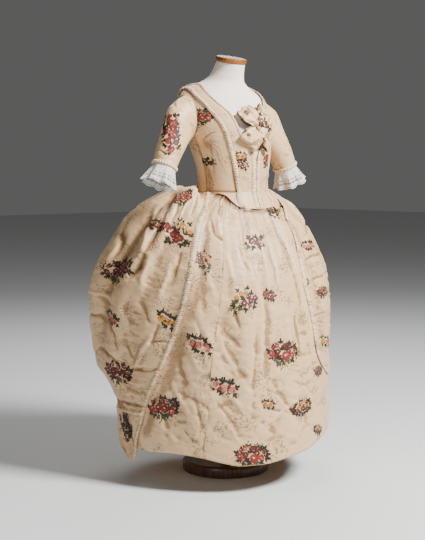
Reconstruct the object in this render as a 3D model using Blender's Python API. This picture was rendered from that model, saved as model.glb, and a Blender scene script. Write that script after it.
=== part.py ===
"""Brocaded silk open robe with a matching petticoat, standing on a limbless dress form.

The dress faces -Y and its own right side is at -X. Z = 0 is the underside of the wooden foot. Every cloth
piece is a thin wall on a surface worked out from the section tables below, with a narrow gap at each seam.
"""

import math
from functools import lru_cache

import bmesh
import bpy
from mathutils import Vector

MM = 0.001
SEAM = 0.3 * MM
WALL = 1.5 * MM

# Heights of the stand and of the waist seam.
BASE_RADIUS = 0.149
BASE_HEIGHT = 0.038
BASE_EDGE_ROUND = 0.010
POLE_RADIUS = 0.016
WAIST_Z = 0.965
NECK_TOP_Z = 1.400
NECK_TILT = math.radians(12.6)
CAP_RADIUS = 0.0525
CAP_THICKNESS = 0.017
CAP_EDGE_ROUND = 0.005
FOOT_CHAMFER = 0.004
CAP_CHAMFER = 0.0015

# Form below the waist: height, half width, front y, back y.
FORM_LOWER = (
    (0.800, 0.140, -0.132, 0.112),
    (0.830, 0.144, -0.136, 0.114),
    (0.880, 0.138, -0.140, 0.108),
    (0.930, 0.122, -0.144, 0.090),
    (0.955, 0.1125, -0.1445, 0.0768),
)
FORM_CENTRE_Y = -0.034

# Form above the waist: the heights of its rings, which follow the body sections.
FORM_UPPER = (
    0.9675, 0.990, 1.030, 1.075, 1.120, 1.160, 1.200, 1.235, 1.262, 1.285, 1.300, 1.313, 1.325, 1.338,
    1.355, 1.378, 1.400,
)
FORM_SEGMENTS = 28
FORM_CHEST_Z = 1.10
FORM_CHEST_BLEND = 0.06
NECK_STRAIGHT_Z = 1.360
NECK_LEAN_FROM = 1.345

# Distances out from the body surface, which is the bodice's inner face.
FORM_GAP = 1.3 * MM
FORM_SHOULDER_GAP = 7.5 * MM
PETTICOAT_UNDER_BODICE = 2.6 * MM
PETTICOAT_TOP = 0.9628
ROBING_IN = 2.4 * MM
ROBING_OUT = 3.9 * MM
TRIM_IN = 4.8 * MM
TRIM_OUT = 6.2 * MM
TRIM_PUCKER = 1.4 * MM
SHOULDER_EASE = 1.6 * MM
SHOULDER_EASE_FROM = 1.235
SHOULDER_EASE_BLEND = 0.03
TAB_IN = 0.1 * MM
TAB_OUT = 1.3 * MM
TAB_TOP = 0.9620

# Body sections: height, half width, front y, back y, centre y, how far back the sides are set.
BODY_SECTIONS = (
    (0.965, 0.118, -0.150, 0.082, -0.034, 0.000),
    (1.000, 0.119, -0.150, 0.080, -0.034, 0.000),
    (1.040, 0.124, -0.151, 0.081, -0.033, 0.000),
    (1.090, 0.134, -0.152, 0.095, -0.025, 0.000),
    (1.130, 0.143, -0.151, 0.108, -0.015, 0.000),
    (1.170, 0.152, -0.145, 0.115, -0.008, 0.002),
    (1.210, 0.160, -0.128, 0.117, -0.004, 0.006),
    (1.245, 0.168, -0.106, 0.114, -0.003, 0.014),
    (1.275, 0.170, -0.092, 0.106, -0.002, 0.025),
    (1.297, 0.154, -0.083, 0.096, -0.001, 0.036),
    (1.313, 0.127, -0.075, 0.086, 0.000, 0.044),
    (1.325, 0.100, -0.070, 0.077, 0.000, 0.040),
    (1.338, 0.076, -0.068, 0.066, -0.003, 0.026),
    (1.355, 0.062, -0.068, 0.052, -0.008, 0.008),
    (1.380, 0.052, -0.072, 0.036, -0.018, 0.000),
    (1.400, 0.049, -0.076, 0.022, -0.027, 0.000),
)

# Petticoat sections, inner face: height, half width, front y, back y, centre y.
SKIRT_SECTIONS = (
    (0.080, 0.366, -0.350, 0.312, 0.020),
    (0.200, 0.370, -0.346, 0.318, 0.020),
    (0.300, 0.371, -0.341, 0.320, 0.020),
    (0.400, 0.372, -0.332, 0.320, 0.020),
    (0.500, 0.373, -0.320, 0.318, 0.020),
    (0.600, 0.373, -0.303, 0.312, 0.018),
    (0.650, 0.371, -0.290, 0.307, 0.015),
    (0.700, 0.363, -0.275, 0.299, 0.010),
    (0.760, 0.347, -0.250, 0.284, 0.003),
    (0.810, 0.326, -0.225, 0.263, -0.004),
    (0.860, 0.286, -0.195, 0.222, -0.012),
    (0.900, 0.231, -0.173, 0.178, -0.019),
    (0.925, 0.189, -0.162, 0.143, -0.025),
    (0.945, 0.151, -0.155, 0.111, -0.030),
    (0.957, 0.128, -0.150, 0.092, -0.033),
    (0.965, 0.1159, -0.1474, 0.0799, -0.034),
)

# Petticoat rows down the skirt, as heights, from the waist to just over the hem.
SKIRT_ROWS = (
    PETTICOAT_TOP, 0.956, 0.945, 0.930, 0.910, 0.885, 0.850, 0.795, 0.720, 0.620, 0.500, 0.370, 0.240,
)

# Petticoat front seams: height, and angle to each side of centre front in degrees.
FRONT_SEAMS = (
    (0.080, 52.0), (0.165, 50.0), (0.440, 44.5), (0.630, 38.0), (0.750, 34.5), (0.850, 33.5), (0.965, 42.0),
)
PETTICOAT_COLUMNS = 12
SKIRT_SEAM_RADIUS = 0.112

# Petticoat hem: angle from centre front in degrees, positive to the wearer's left, and height.
HEM = (
    (-180, 0.140), (-130, 0.124), (-92, 0.122), (-60, 0.130), (-43, 0.120), (-33, 0.104), (-27, 0.096),
    (-17, 0.0975), (-3, 0.111), (13, 0.130), (22, 0.145), (46, 0.168), (90, 0.165), (135, 0.150),
    (180, 0.140),
)

# Petticoat folds: angle, half width in degrees, height out (negative is a trough) in mm, top z, bottom z.
SKIRT_FOLDS = (
    (-118, 9, 8, 0.93, 0.10), (-98, 8, -7, 0.93, 0.10), (-80, 9, 7, 0.90, 0.12), (-64, 7, -6, 0.88, 0.20),
    (-52, 6, 5, 0.93, 0.45), (-44, 5, -4, 0.90, 0.60), (-36, 6, -7, 0.62, 0.30), (-26, 6, 5, 0.86, 0.30),
    (-14, 6, -4, 0.80, 0.16), (-2, 6, 5, 0.90, 0.20), (8, 5, -5, 0.92, 0.50), (17, 6, 6, 0.91, 0.30),
    (28, 6, -7, 0.92, 0.42), (40, 7, 6, 0.90, 0.16), (54, 8, -7, 0.90, 0.14), (70, 8, 8, 0.92, 0.12),
    (88, 9, -8, 0.93, 0.12), (106, 9, 8, 0.93, 0.12), (124, 9, -8, 0.93, 0.12), (144, 9, 7, 0.93, 0.12),
    (164, 9, -8, 0.93, 0.12), (-176, 9, 8, 0.93, 0.12), (-156, 9, -8, 0.93, 0.12), (-137, 8, 5, 0.93, 0.12),
)

# Waistcoat tab: angle from centre front in degrees, and height of its lower edge.
TAB_EDGE = (
    (0.0, 0.906), (16.0, 0.909), (25.0, 0.917), (33.0, 0.931), (46.0, 0.949), (60.0, 0.957), (72.0, 0.9615),
)
TAB_END_DEG = 72.0

# Robing: outer edge height and angle, inner edge height and angle, from the tab up and round the back neck.
ROBING = (
    (0.9140, 21.0, 0.9065, 0.15),
    (0.9400, 29.0, 0.9400, 0.15),
    (0.9650, 34.0, 0.9650, 0.15),
    (1.0000, 37.0, 1.0000, 0.15),
    (1.0400, 39.0, 1.0400, 0.15),
    (1.0800, 41.0, 1.0850, 2.0),
    (1.1150, 42.5, 1.1130, 8.7),
    (1.1500, 44.0, 1.1480, 21.0),
    (1.1900, 47.0, 1.1900, 24.0),
    (1.2250, 52.0, 1.2250, 27.0),
    (1.2600, 58.0, 1.2590, 36.0),
    (1.2870, 69.0, 1.2930, 47.0),
    (1.3020, 82.0, 1.3170, 62.0),
    (1.3060, 95.0, 1.3240, 80.0),
    (1.3010, 107.0, 1.3220, 98.0),
    (1.2850, 120.0, 1.3120, 116.0),
    (1.2720, 133.0, 1.3010, 132.0),
    (1.2650, 146.0, 1.2960, 147.0),
    (1.2630, 162.0, 1.2950, 163.0),
    (1.2620, 179.85, 1.2950, 179.85),
)
ROBING_UNDERLAP_DEG = 9.0
ROBING_COLUMNS = 4
ROBING_ROWS = 26
TRIM_ROWS = 42
OUTER_TRIM = (0.02, 0.23)
INNER_TRIM = (0.80, 0.98)

# Armhole: an ellipse seen from the side.
ARMHOLE_Z = 1.222
ARMHOLE_HALF_HEIGHT = 0.075
ARMHOLE_HALF_DEPTH = 0.042
SHOULDER_Z = 1.306
BACK_NECK_Z = 1.278
BODICE_ROWS = (
    0.9653, 1.000, 1.040, 1.080, 1.115, 1.147, 1.162, 1.190, 1.222, 1.254, 1.281, 1.297, 1.306,
)
BODICE_INNER_DEG = 4.0
BODICE_LEAST_WIDTH = 0.05
BACK_NECK_HALF_DEG = 35.0

# Sleeve rings: centre x, y and z, slope of the tube below level in degrees, half height, half depth.
SLEEVE_RINGS = (
    (0.167, 0.013, 1.2130, 10, 0.0720, 0.0440),
    (0.186, 0.012, 1.2090, 24, 0.0735, 0.0465),
    (0.205, 0.009, 1.1930, 40, 0.0675, 0.0470),
    (0.224, 0.003, 1.1600, 54, 0.0550, 0.0460),
    (0.243, -0.003, 1.1230, 61, 0.0470, 0.0440),
    (0.261, -0.007, 1.0850, 64, 0.0420, 0.0420),
    (0.278, -0.010, 1.0460, 66, 0.0385, 0.0385),
)
SLEEVE_COLUMNS = 16
SLEEVE_ROWS = 9
SLEEVE_SEAM_RADIUS = 0.04
SLEEVE_REST = 0.9 * MM
SLEEVE_HUG = 3.0
HUG_HEIGHTS = (1.0, 1.31)
CUFF_FROM = 0.9585
CUFF_TO = 0.999
CUFF_IN = 2.1 * MM
CUFF_OUT = 3.6 * MM
CUFF_PUCKERS = 14
CUFF_PUCKER_HEIGHT = 2.0 * MM
LACE_LENGTH = 0.062
LACE_FLARE = 0.020
LACE_WAVES = 7
LACE_WAVE_HEIGHT = 0.007
LACE_SCALLOPS = 10
LACE_SCALLOP_DEPTH = 0.005
LACE_WALL = 1.0 * MM
LACE_SET_IN = 0.6 * MM
LACE_COLUMNS = 11
LACE_ROWS = 4
LACE_BAR = 0.28

# Overskirt front edges: height and angle from centre front, on the right side and on the left.
RIGHT_EDGE = (
    (0.080, -92.0), (0.155, -88.9), (0.210, -84.8), (0.297, -79.6), (0.383, -72.8), (0.466, -66.3),
    (0.548, -60.0), (0.659, -53.6), (0.747, -50.8), (0.831, -49.5), (0.890, -51.0), (0.922, -56.0),
    (0.945, -66.0), (0.957, -74.0), (0.9647, -78.0),
)
LEFT_EDGE = (
    (0.080, 60.0), (0.300, 44.0), (0.355, 32.0), (0.432, 19.0), (0.519, 16.1), (0.609, 14.2), (0.652, 13.7),
    (0.723, 15.0), (0.769, 16.5), (0.820, 20.5), (0.870, 27.5), (0.900, 36.0), (0.922, 48.0), (0.945, 64.0),
    (0.957, 73.0), (0.9647, 78.0),
)
RIGHT_EDGE_FOOT = 0.080
LEFT_EDGE_FOOT = 0.345

# Overskirt profile where it is fullest: share of the way down, distance out, height.
PUFF_PROFILE = (
    (0.000, 0.122, 0.9600), (0.025, 0.140, 0.9770), (0.060, 0.176, 0.9850), (0.110, 0.226, 0.9560),
    (0.165, 0.277, 0.9160), (0.220, 0.322, 0.8700), (0.275, 0.362, 0.8150), (0.330, 0.397, 0.7600),
    (0.390, 0.430, 0.7100), (0.450, 0.446, 0.6500), (0.510, 0.446, 0.5900), (0.570, 0.444, 0.5300),
    (0.630, 0.438, 0.4700), (0.690, 0.433, 0.4150), (0.740, 0.430, 0.3720), (0.780, 0.412, 0.3400),
    (0.825, 0.388, 0.2980), (0.870, 0.368, 0.2500), (0.915, 0.360, 0.1950), (0.960, 0.350, 0.1350),
    (1.000, 0.326, 0.0800),
)
PUFF_CENTRE_Y = 0.020
FLOUNCE_FROM = 0.780
OVER_COLUMNS = 20
OVER_ROWS = 18
OVER_TRIM_ROWS = 44
RIGHT_RAMP = 0.20
LEFT_RAMP = 0.40
WAIST_RIGHT_RAMP = 0.08
WAIST_LEFT_RAMP = 0.20
WAIST_RAMP_ENDS = 0.22
OVER_TOP = 0.9600
OVER_TOP_REST = 4.8 * MM
OVER_REST = 6.5 * MM
OVER_CLEAR = 6.0 * MM
RAMP_MARGIN = 0.01

# Overskirt edge strips: the shares round between which each lies, and the shares down where they end.
RIGHT_STRIP = (0.002, 0.014)
LEFT_STRIP = (0.986, 0.998)
STRIP_ENDS = (0.012, 0.995)
STRIP_REST = 1.9 * MM
STRIP_WALL = 1.5 * MM

# Overskirt flounce below the puff: share of the way round, and how much of its full length it has there.
FLOUNCE = (
    (0.00, 1.00), (0.05, 0.90), (0.12, 0.78), (0.30, 0.70), (0.50, 0.62), (0.75, 0.42), (1.00, 0.24),
)

# Overskirt pleats: share round from the right edge, half width, depth in mm, share down where it ends.
OVER_PLEATS = (
    (0.035, 0.012, 7, 0.95), (0.075, 0.016, -9, 0.60), (0.118, 0.018, 12, 0.85), (0.160, 0.017, -17, 0.72),
    (0.205, 0.019, 14, 0.80), (0.250, 0.018, -16, 0.74), (0.296, 0.020, 14, 0.86), (0.340, 0.018, -16, 0.80),
    (0.386, 0.020, 15, 0.84), (0.432, 0.018, -17, 0.90), (0.475, 0.017, 12, 0.82), (0.525, 0.017, 12, 0.82),
    (0.568, 0.018, -17, 0.90), (0.614, 0.020, 15, 0.84), (0.660, 0.018, -16, 0.80), (0.704, 0.020, 14, 0.86),
    (0.750, 0.018, -16, 0.74), (0.795, 0.019, 14, 0.80), (0.840, 0.017, -15, 0.78), (0.882, 0.018, 11, 0.85),
    (0.925, 0.016, -8, 0.70), (0.965, 0.012, 6, 0.95),
)

# Bow loops: name, lean from upright in degrees (positive to the wearer's left), length, half width, swell.
BOW_LOOPS = (
    ("upper_right", -32, 0.066, 0.024, 0.014),
    ("upper_left", 56, 0.078, 0.031, 0.016),
    ("lower_left", 137, 0.066, 0.026, 0.013),
    ("lower_right", -134, 0.060, 0.025, 0.012),
)
BOW_CENTRE_Z = 1.172
BOW_RISE = 13.6 * MM
BOW_KNOT = 7.3 * MM
BOW_LIFT = 4.0 * MM
BOW_START = 0.005
BOW_TURN = 0.93
BOW_PINCH = 0.14
BOW_OPENING = 1.3

COLOURS = {
    "silk": ((0.66, 0.57, 0.47), 0.42),
    "silk_trim": ((0.62, 0.50, 0.36), 0.50),
    "lace": ((0.78, 0.77, 0.74), 0.80),
    "form_cloth": ((0.80, 0.76, 0.73), 0.85),
    "cap_wood": ((0.55, 0.20, 0.04), 0.28),
    "base_wood": ((0.045, 0.014, 0.005), 0.35),
}


def smooth(t):
    """Eases from 0 to 1 with level ends."""
    t = min(max(t, 0.0), 1.0)
    return t * t * (3.0 - 2.0 * t)


def read_table(table, key, column):
    """Reads one column of a table at a key, along a smooth curve through its rows."""
    last = len(table) - 1
    if key <= table[0][0]:
        return table[0][column]
    if key >= table[last][0]:
        return table[last][column]
    i = 0
    while table[i + 1][0] < key:
        i += 1
    x0, x1 = table[i][0], table[i + 1][0]
    y0, y1 = table[i][column], table[i + 1][column]
    step = (y1 - y0) / (x1 - x0)
    before = step if i == 0 else (y0 - table[i - 1][column]) / (x0 - table[i - 1][0])
    after = step if i + 1 == last else (table[i + 2][column] - y1) / (table[i + 2][0] - x1)
    slope0 = 0.0 if before * step <= 0 else 2.0 * before * step / (before + step)
    slope1 = 0.0 if after * step <= 0 else 2.0 * after * step / (after + step)
    t = (key - x0) / (x1 - x0)
    width = x1 - x0
    return (y0 * (1 + 2 * t) * (1 - t) ** 2 + slope0 * width * t * (1 - t) ** 2
            + y1 * t * t * (3 - 2 * t) + slope1 * width * t * t * (t - 1))


def section_point(table, angle, z):
    """A point of an oval section, where angle 0 is centre front and angles grow to the wearer's left."""
    half_width, front, back, centre = (read_table(table, z, column) for column in (1, 2, 3, 4))
    depth = centre - front if math.cos(angle) > 0 else back - centre
    set_back = read_table(table, z, 5) * math.sin(angle) ** 2 if len(table[0]) > 5 else 0.0
    return Vector((half_width * math.sin(angle), centre - depth * math.cos(angle) + set_back, z))


@lru_cache(maxsize=None)
def skirt_fold(angle, z):
    """How far the petticoat stands out of its section, from its table of folds."""
    total = 0.0
    for at, half, height, top, bottom in SKIRT_FOLDS:
        away = (math.degrees(angle) - at + 180.0) % 360.0 - 180.0
        fade = smooth((top - z) / 0.07) * smooth((z - bottom) / 0.10 + 0.6)
        total += height * MM * math.exp(-(away / half) ** 2) * fade
    return total


@lru_cache(maxsize=None)
def skirt_base(angle, z):
    """The petticoat's inner face."""
    point = section_point(SKIRT_SECTIONS, angle, z)
    outward = Vector((math.sin(angle), -math.cos(angle), 0.0))
    return point + outward * skirt_fold(angle, z)


def trunk_base(angle, z):
    """The body's surface, which is the bodice's inner face."""
    return section_point(BODY_SECTIONS, angle, z)


def lap_base(angle, z):
    """The surface over the petticoat, on which the body's own surface runs on below the waist."""
    return offset_point(skirt_base, angle, z, PETTICOAT_UNDER_BODICE)


def offset_point(surface, angle, z, out):
    """A point of a surface given by angle and height, moved out along the surface's normal."""
    step_angle, step_z = math.radians(1.0), 2.0 * MM
    along = surface(angle + step_angle, z) - surface(angle - step_angle, z)
    up = surface(angle, z + step_z) - surface(angle, z - step_z)
    return surface(angle, z) + along.cross(up).normalized() * out


def body_point(angle, z, out):
    return offset_point(trunk_base if z >= WAIST_Z else lap_base, angle, z, out)


def skirt_point(angle, z, out):
    return offset_point(skirt_base, angle, z, out)


def hem_height(degrees):
    return read_table(HEM, (degrees + 180.0) % 360.0 - 180.0, 1)


def make_material(slot):
    """One plain material for each finish."""
    found = bpy.data.materials.get(slot)
    if found:
        return found
    colour, roughness = COLOURS[slot]
    material = bpy.data.materials.new(slot)
    material.use_nodes = True
    shader = material.node_tree.nodes["Principled BSDF"]
    shader.inputs["Base Color"].default_value = (*colour, 1.0)
    shader.inputs["Roughness"].default_value = roughness
    shader.inputs["Metallic"].default_value = 0.0
    return material


def add_object(name, bm, slot):
    """Turns a closed bmesh into a named object of the dress, its faces pointing out."""
    if bm.calc_volume(signed=True) < 0:
        bmesh.ops.reverse_faces(bm, faces=bm.faces[:])
    mesh = bpy.data.meshes.new(name)
    bm.to_mesh(mesh)
    bm.free()
    mesh.shade_smooth()
    mesh.set_sharp_from_angle(angle=math.radians(50))
    mesh.materials.append(make_material(slot))
    shape = bpy.data.objects.new(name, mesh)
    bpy.data.collections["silk_dress"].objects.link(shape)
    return shape


def add_cloth(name, columns, rows, place, slot="silk", holes=()):
    """A wall of cloth: a flat slab of columns by rows, cut where it has holes, then laid by place.

    place takes the shares across, along and through the wall, each 0 to 1.
    """
    bm = bmesh.new()
    bmesh.ops.create_grid(bm, x_segments=columns, y_segments=rows, size=0.5)
    if holes:
        cells = []
        for face in bm.faces:
            middle = face.calc_center_median()
            cell = (int((middle.x + 0.5) * columns), int((middle.y + 0.5) * rows))
            if cell in holes:
                cells.append(face)
        bmesh.ops.inset_individual(bm, faces=cells, thickness=LACE_BAR / max(columns, rows))
        bmesh.ops.delete(bm, geom=cells, context="FACES_ONLY")
    pulled = bmesh.ops.extrude_face_region(bm, geom=bm.faces[:], use_keep_orig=True)
    fresh = [item for item in pulled["geom"] if isinstance(item, bmesh.types.BMVert)]
    bmesh.ops.translate(bm, verts=fresh, vec=(0.0, 0.0, 1.0))
    bmesh.ops.recalc_face_normals(bm, faces=bm.faces[:])
    for vert in bm.verts:
        vert.co = place(vert.co.x + 0.5, vert.co.y + 0.5, vert.co.z)
    return add_object(name, bm, slot)


def between(low, high, share):
    return low + (high - low) * share


def on_cells(surface, columns, rows):
    """The same surface as flat cells: what lies on a panel follows the panel's own corners."""
    def read(across, along, out):
        i = min(int(across * columns), columns - 1)
        k = min(int(along * rows), rows - 1)
        du, dv = across * columns - i, along * rows - k
        edges = []
        for row in (k, k + 1):
            start = surface(i / columns, row / rows, out)
            end = surface((i + 1) / columns, row / rows, out)
            edges.append(start.lerp(end, du))
        return edges[0].lerp(edges[1], dv)
    return read


def pick_row(rows, share):
    """Reads a list of heights at a share of the way along it."""
    place = share * (len(rows) - 1)
    i = min(int(place + 1e-6), len(rows) - 2)
    return between(rows[i], rows[i + 1], place - i)


def seam_angle(radius):
    """Half a seam's gap as an angle at a radius."""
    return SEAM * 0.5 / radius


# The stand


def add_turned(name, profile, slot, steps):
    """A turned solid: a profile of (radius, z) from the axis out and back, spun about Z."""
    bm = bmesh.new()
    verts = [bm.verts.new((radius, 0.0, z)) for radius, z in profile]
    edges = [bm.edges.new(pair) for pair in zip(verts, verts[1:])]
    bmesh.ops.spin(bm, geom=verts + edges, cent=(0, 0, 0), axis=(0, 0, 1), angle=math.tau, steps=steps,
                   use_merge=True)
    bmesh.ops.remove_doubles(bm, verts=bm.verts, dist=1e-5)
    bmesh.ops.recalc_face_normals(bm, faces=bm.faces[:])
    return add_object(name, bm, slot)


def rounded_edge(radius, z_low, z_high, edge_round, steps=3):
    """The outer side of a turned slab, with its top edge rounded."""
    profile = [(radius, z_low)]
    for i in range(steps + 1):
        turn = math.pi / 2 * i / steps
        in_from_side = edge_round * (1 - math.cos(turn))
        down_from_top = edge_round * (1 - math.sin(turn))
        profile.append((radius - in_from_side, z_high - down_from_top))
    return profile


def add_stand():
    side = rounded_edge(BASE_RADIUS, FOOT_CHAMFER, BASE_HEIGHT, BASE_EDGE_ROUND)
    foot = [(0.0, 0.0), (BASE_RADIUS - FOOT_CHAMFER, 0.0)] + side + [(0.0, BASE_HEIGHT)]
    add_turned("stand_base", foot, "base_wood", 36)
    low, high = BASE_HEIGHT + SEAM, FORM_LOWER[0][0] - SEAM
    pole = [(0.0, low), (POLE_RADIUS, low), (POLE_RADIUS, high), (0.0, high)]
    add_turned("stand_pole", pole, "base_wood", 16)
    rim = rounded_edge(CAP_RADIUS, CAP_EDGE_ROUND, CAP_THICKNESS, CAP_EDGE_ROUND)
    under = [(0.0, 0.0), (CAP_RADIUS - CAP_EDGE_ROUND, 0.0), (CAP_RADIUS - CAP_CHAMFER, CAP_CHAMFER)]
    cap = add_turned("neck_cap", under + rim + [(0.0, CAP_THICKNESS)], "cap_wood", 24)
    centre_y = BODY_SECTIONS[-1][4]
    cap.rotation_euler = (NECK_TILT, 0.0, 0.0)
    cap.location = (0.0, centre_y - SEAM * math.sin(NECK_TILT), NECK_TOP_Z + SEAM * math.cos(NECK_TILT))


def neck_tilt_lift(point):
    """Leans the top of the neck forward, from level at the shoulders to the cap's own slope."""
    lean = smooth((point.z - NECK_LEAN_FROM) / (NECK_TOP_Z - NECK_LEAN_FROM))
    return math.tan(NECK_TILT) * (point.y - BODY_SECTIONS[-1][4]) * lean


def add_form():
    """The cloth-covered form, as rings joined from the flat bottom to the flat top of the neck."""
    rings = []
    for z, half_width, front, back in FORM_LOWER:
        ring = []
        for i in range(FORM_SEGMENTS):
            angle = math.tau * i / FORM_SEGMENTS
            depth = FORM_CENTRE_Y - front if math.cos(angle) > 0 else back - FORM_CENTRE_Y
            y = FORM_CENTRE_Y - depth * math.cos(angle)
            ring.append(Vector((half_width * math.sin(angle), y, z)))
        rings.append(ring)
    for z in FORM_UPPER:
        ring = []
        gap = between(FORM_GAP, FORM_SHOULDER_GAP, smooth((z - FORM_CHEST_Z) / FORM_CHEST_BLEND))
        for i in range(FORM_SEGMENTS):
            angle = math.tau * i / FORM_SEGMENTS
            if z < NECK_STRAIGHT_Z:
                point = offset_point(trunk_base, angle, z, -gap)
            else:
                outward = Vector((math.sin(angle), -math.cos(angle), 0.0))
                point = trunk_base(angle, z) - outward * gap
            point.z += neck_tilt_lift(point)
            ring.append(point)
        rings.append(ring)
    bm = bmesh.new()
    loops = [[bm.verts.new(point) for point in ring] for ring in rings]
    for low, high in zip(loops, loops[1:]):
        for i in range(FORM_SEGMENTS):
            k = (i + 1) % FORM_SEGMENTS
            bm.faces.new((low[i], low[k], high[k], high[i]))
    bm.faces.new(reversed(loops[0]))
    bm.faces.new(loops[-1])
    bmesh.ops.recalc_face_normals(bm, faces=bm.faces[:])
    add_object("form_torso", bm, "form_cloth")


# The bodice


@lru_cache(maxsize=None)
def robing_edge_angle(z):
    """Angle of the robing's outer edge at a height, on the front of the body."""
    front = [row for row in ROBING if row[1] <= 90.0]
    return read_table([(row[0], row[1]) for row in front], z, 1)


def body_angle_at(y, z):
    """The angle, from centre front round the left side, where the body surface has this y at this height."""
    low, high = 0.0, math.pi
    for _ in range(40):
        middle = (low + high) / 2
        if section_point(BODY_SECTIONS, middle, z).y < y:
            low = middle
        else:
            high = middle
    return (low + high) / 2


@lru_cache(maxsize=None)
def armhole_angle(z, side_y):
    """Angle of the armhole's edge at a height. side_y is -1 for its front edge and 1 for its back edge."""
    rise = (z - ARMHOLE_Z) / ARMHOLE_HALF_HEIGHT
    reach = ARMHOLE_HALF_DEPTH * math.sqrt(max(0.0, 1.0 - rise * rise))
    ridge = section_point(BODY_SECTIONS, math.pi / 2, z).y
    return body_angle_at(ridge + side_y * reach, z)


def side_limit(z, side_y):
    """Edge angle of a front or back panel: the side seam, the armhole or the shoulder seam."""
    gap = seam_angle(0.10)
    if abs(z - ARMHOLE_Z) < ARMHOLE_HALF_HEIGHT:
        edge = armhole_angle(z, side_y)
        return min(edge, math.pi / 2 - gap) if side_y < 0 else max(edge, math.pi / 2 + gap)
    return math.pi / 2 + side_y * gap


def add_bodice_front(side, word):
    def place(across, along, through):
        z = pick_row(BODICE_ROWS, along)
        outer = side_limit(z, -1)
        inner = math.radians(max(BODICE_INNER_DEG, robing_edge_angle(z) - ROBING_UNDERLAP_DEG))
        inner = min(inner, outer - BODICE_LEAST_WIDTH)
        return body_point(side * between(outer, inner, across), z, WALL * through)
    add_cloth(f"bodice_front_{word}", 6, len(BODICE_ROWS) - 1, place)


def add_bodice_back():
    def place(across, along, through):
        z = pick_row(BODICE_ROWS, along)
        edge = side_limit(z, 1)
        angle = between(edge, math.tau - edge, across)
        away = min(angle - math.pi / 2, 1.5 * math.pi - angle)
        top = between(SHOULDER_Z, BACK_NECK_Z, smooth(away / math.radians(BACK_NECK_HALF_DEG)))
        z = WAIST_Z + SEAM + (z - WAIST_Z - SEAM) * (top - WAIST_Z) / (SHOULDER_Z - WAIST_Z)
        return body_point(angle, z, WALL * through)
    add_cloth("bodice_back", 16, len(BODICE_ROWS) - 1, place)


def add_front_tab(side, word):
    def place(across, along, through):
        degrees = between(ROBING[1][1] - ROBING_UNDERLAP_DEG, TAB_END_DEG, across)
        low = read_table(TAB_EDGE, degrees, 1)
        z = between(low, TAB_TOP, along)
        return body_point(side * math.radians(degrees), z, between(TAB_IN, TAB_OUT, through))
    add_cloth(f"front_tab_{word}", 10, 3, place)


@lru_cache(maxsize=None)
def robing_place(side, across, along, out, layer=1):
    """A point on the robing. across runs from its outer edge to its inner edge.

    Each layer stands a little further out where the shoulder bends sharply.
    """
    at = along * (len(ROBING) - 1)
    rows = [(i, *row) for i, row in enumerate(ROBING)]
    z_out, a_out, z_in, a_in = (read_table(rows, at, column) for column in (1, 2, 3, 4))
    z = between(z_out, z_in, across)
    angle = math.radians(between(a_out, a_in, across))
    ease = SHOULDER_EASE * smooth((z - SHOULDER_EASE_FROM) / SHOULDER_EASE_BLEND)
    return body_point(side * angle, z, out + layer * ease)


def add_robing(side, word):
    def place(across, along, through):
        return robing_place(side, across, along, between(ROBING_IN, ROBING_OUT, through))
    add_cloth(f"robing_{word}", ROBING_COLUMNS, ROBING_ROWS, place)


def add_robing_trim(side, word, edge):
    """A gathered strip along one edge of the robing, its outer face puckered."""
    low, high = OUTER_TRIM if edge == "outer" else INNER_TRIM

    def robing(across, along, out):
        return robing_place(side, across, along, out, 2)
    strip = on_cells(robing, ROBING_COLUMNS, ROBING_ROWS)

    def place(across, along, through):
        pucker = TRIM_PUCKER * (0.5 + 0.5 * math.cos(math.pi * TRIM_ROWS * along)) * through
        out = between(TRIM_IN, TRIM_OUT, through) + pucker
        return strip(between(low, high, across), along, out)
    add_cloth(f"robing_trim_{edge}_{word}", 1, TRIM_ROWS, place, "silk_trim")


# The sleeves


@lru_cache(maxsize=None)
def body_side_x(y, z):
    return section_point(BODY_SECTIONS, body_angle_at(y, z), z).x


@lru_cache(maxsize=None)
def sleeve_frame(along):
    rows = [(i, *row) for i, row in enumerate(SLEEVE_RINGS)]
    at = min(along, 1.0) * (len(SLEEVE_RINGS) - 1)
    return [read_table(rows, at, column) for column in (1, 2, 3, 4, 5, 6)]


def sleeve_point(side, turn, along, out):
    """A point of the sleeve: turn goes round from the seam under the arm, along goes down to the cuff.

    Past 1, along is a distance in metres beyond the cuff line, straight on.
    """
    x, centre_y, z, slope, half_height, half_depth = sleeve_frame(along)
    slope = math.radians(slope)
    extra = max(0.0, along - 1.0)
    angle = math.tau * turn
    height = -(half_height + out) * math.cos(angle)
    y = centre_y + (half_depth + out) * math.sin(angle)
    px = x + height * math.sin(slope) + extra * math.cos(slope)
    pz = z + height * math.cos(slope) - extra * math.sin(slope)
    if along < 1.0:
        rest = body_side_x(y, min(max(pz, HUG_HEIGHTS[0]), HUG_HEIGHTS[1])) + WALL + SLEEVE_REST
        hug = 1.0 - smooth(along * SLEEVE_HUG)
        px = max(px, rest) if hug < 1.0 else rest
        px = between(max(px, rest), rest, hug)
    return Vector((side * px, y, pz))


def add_sleeve(side, word):
    gap = seam_angle(SLEEVE_SEAM_RADIUS) / math.tau

    def place(across, along, through):
        return sleeve_point(side, between(gap, 1.0 - gap, across), along, WALL * through)
    add_cloth(f"sleeve_{word}", SLEEVE_COLUMNS, SLEEVE_ROWS, place)


def add_cuff(side, word):
    gap = seam_angle(SLEEVE_SEAM_RADIUS) / math.tau
    columns = CUFF_PUCKERS * 2

    def place(across, along, through):
        pucker = CUFF_PUCKER_HEIGHT * (0.5 - 0.5 * math.cos(math.pi * columns * across)) * through
        out = between(CUFF_IN, CUFF_OUT, through) + pucker
        turn = between(gap, 1.0 - gap, across)
        return sleeve_point(side, turn, between(CUFF_FROM, CUFF_TO, along), out)
    add_cloth(f"sleeve_cuff_{word}", columns, 1, place, "silk_trim")


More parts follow.
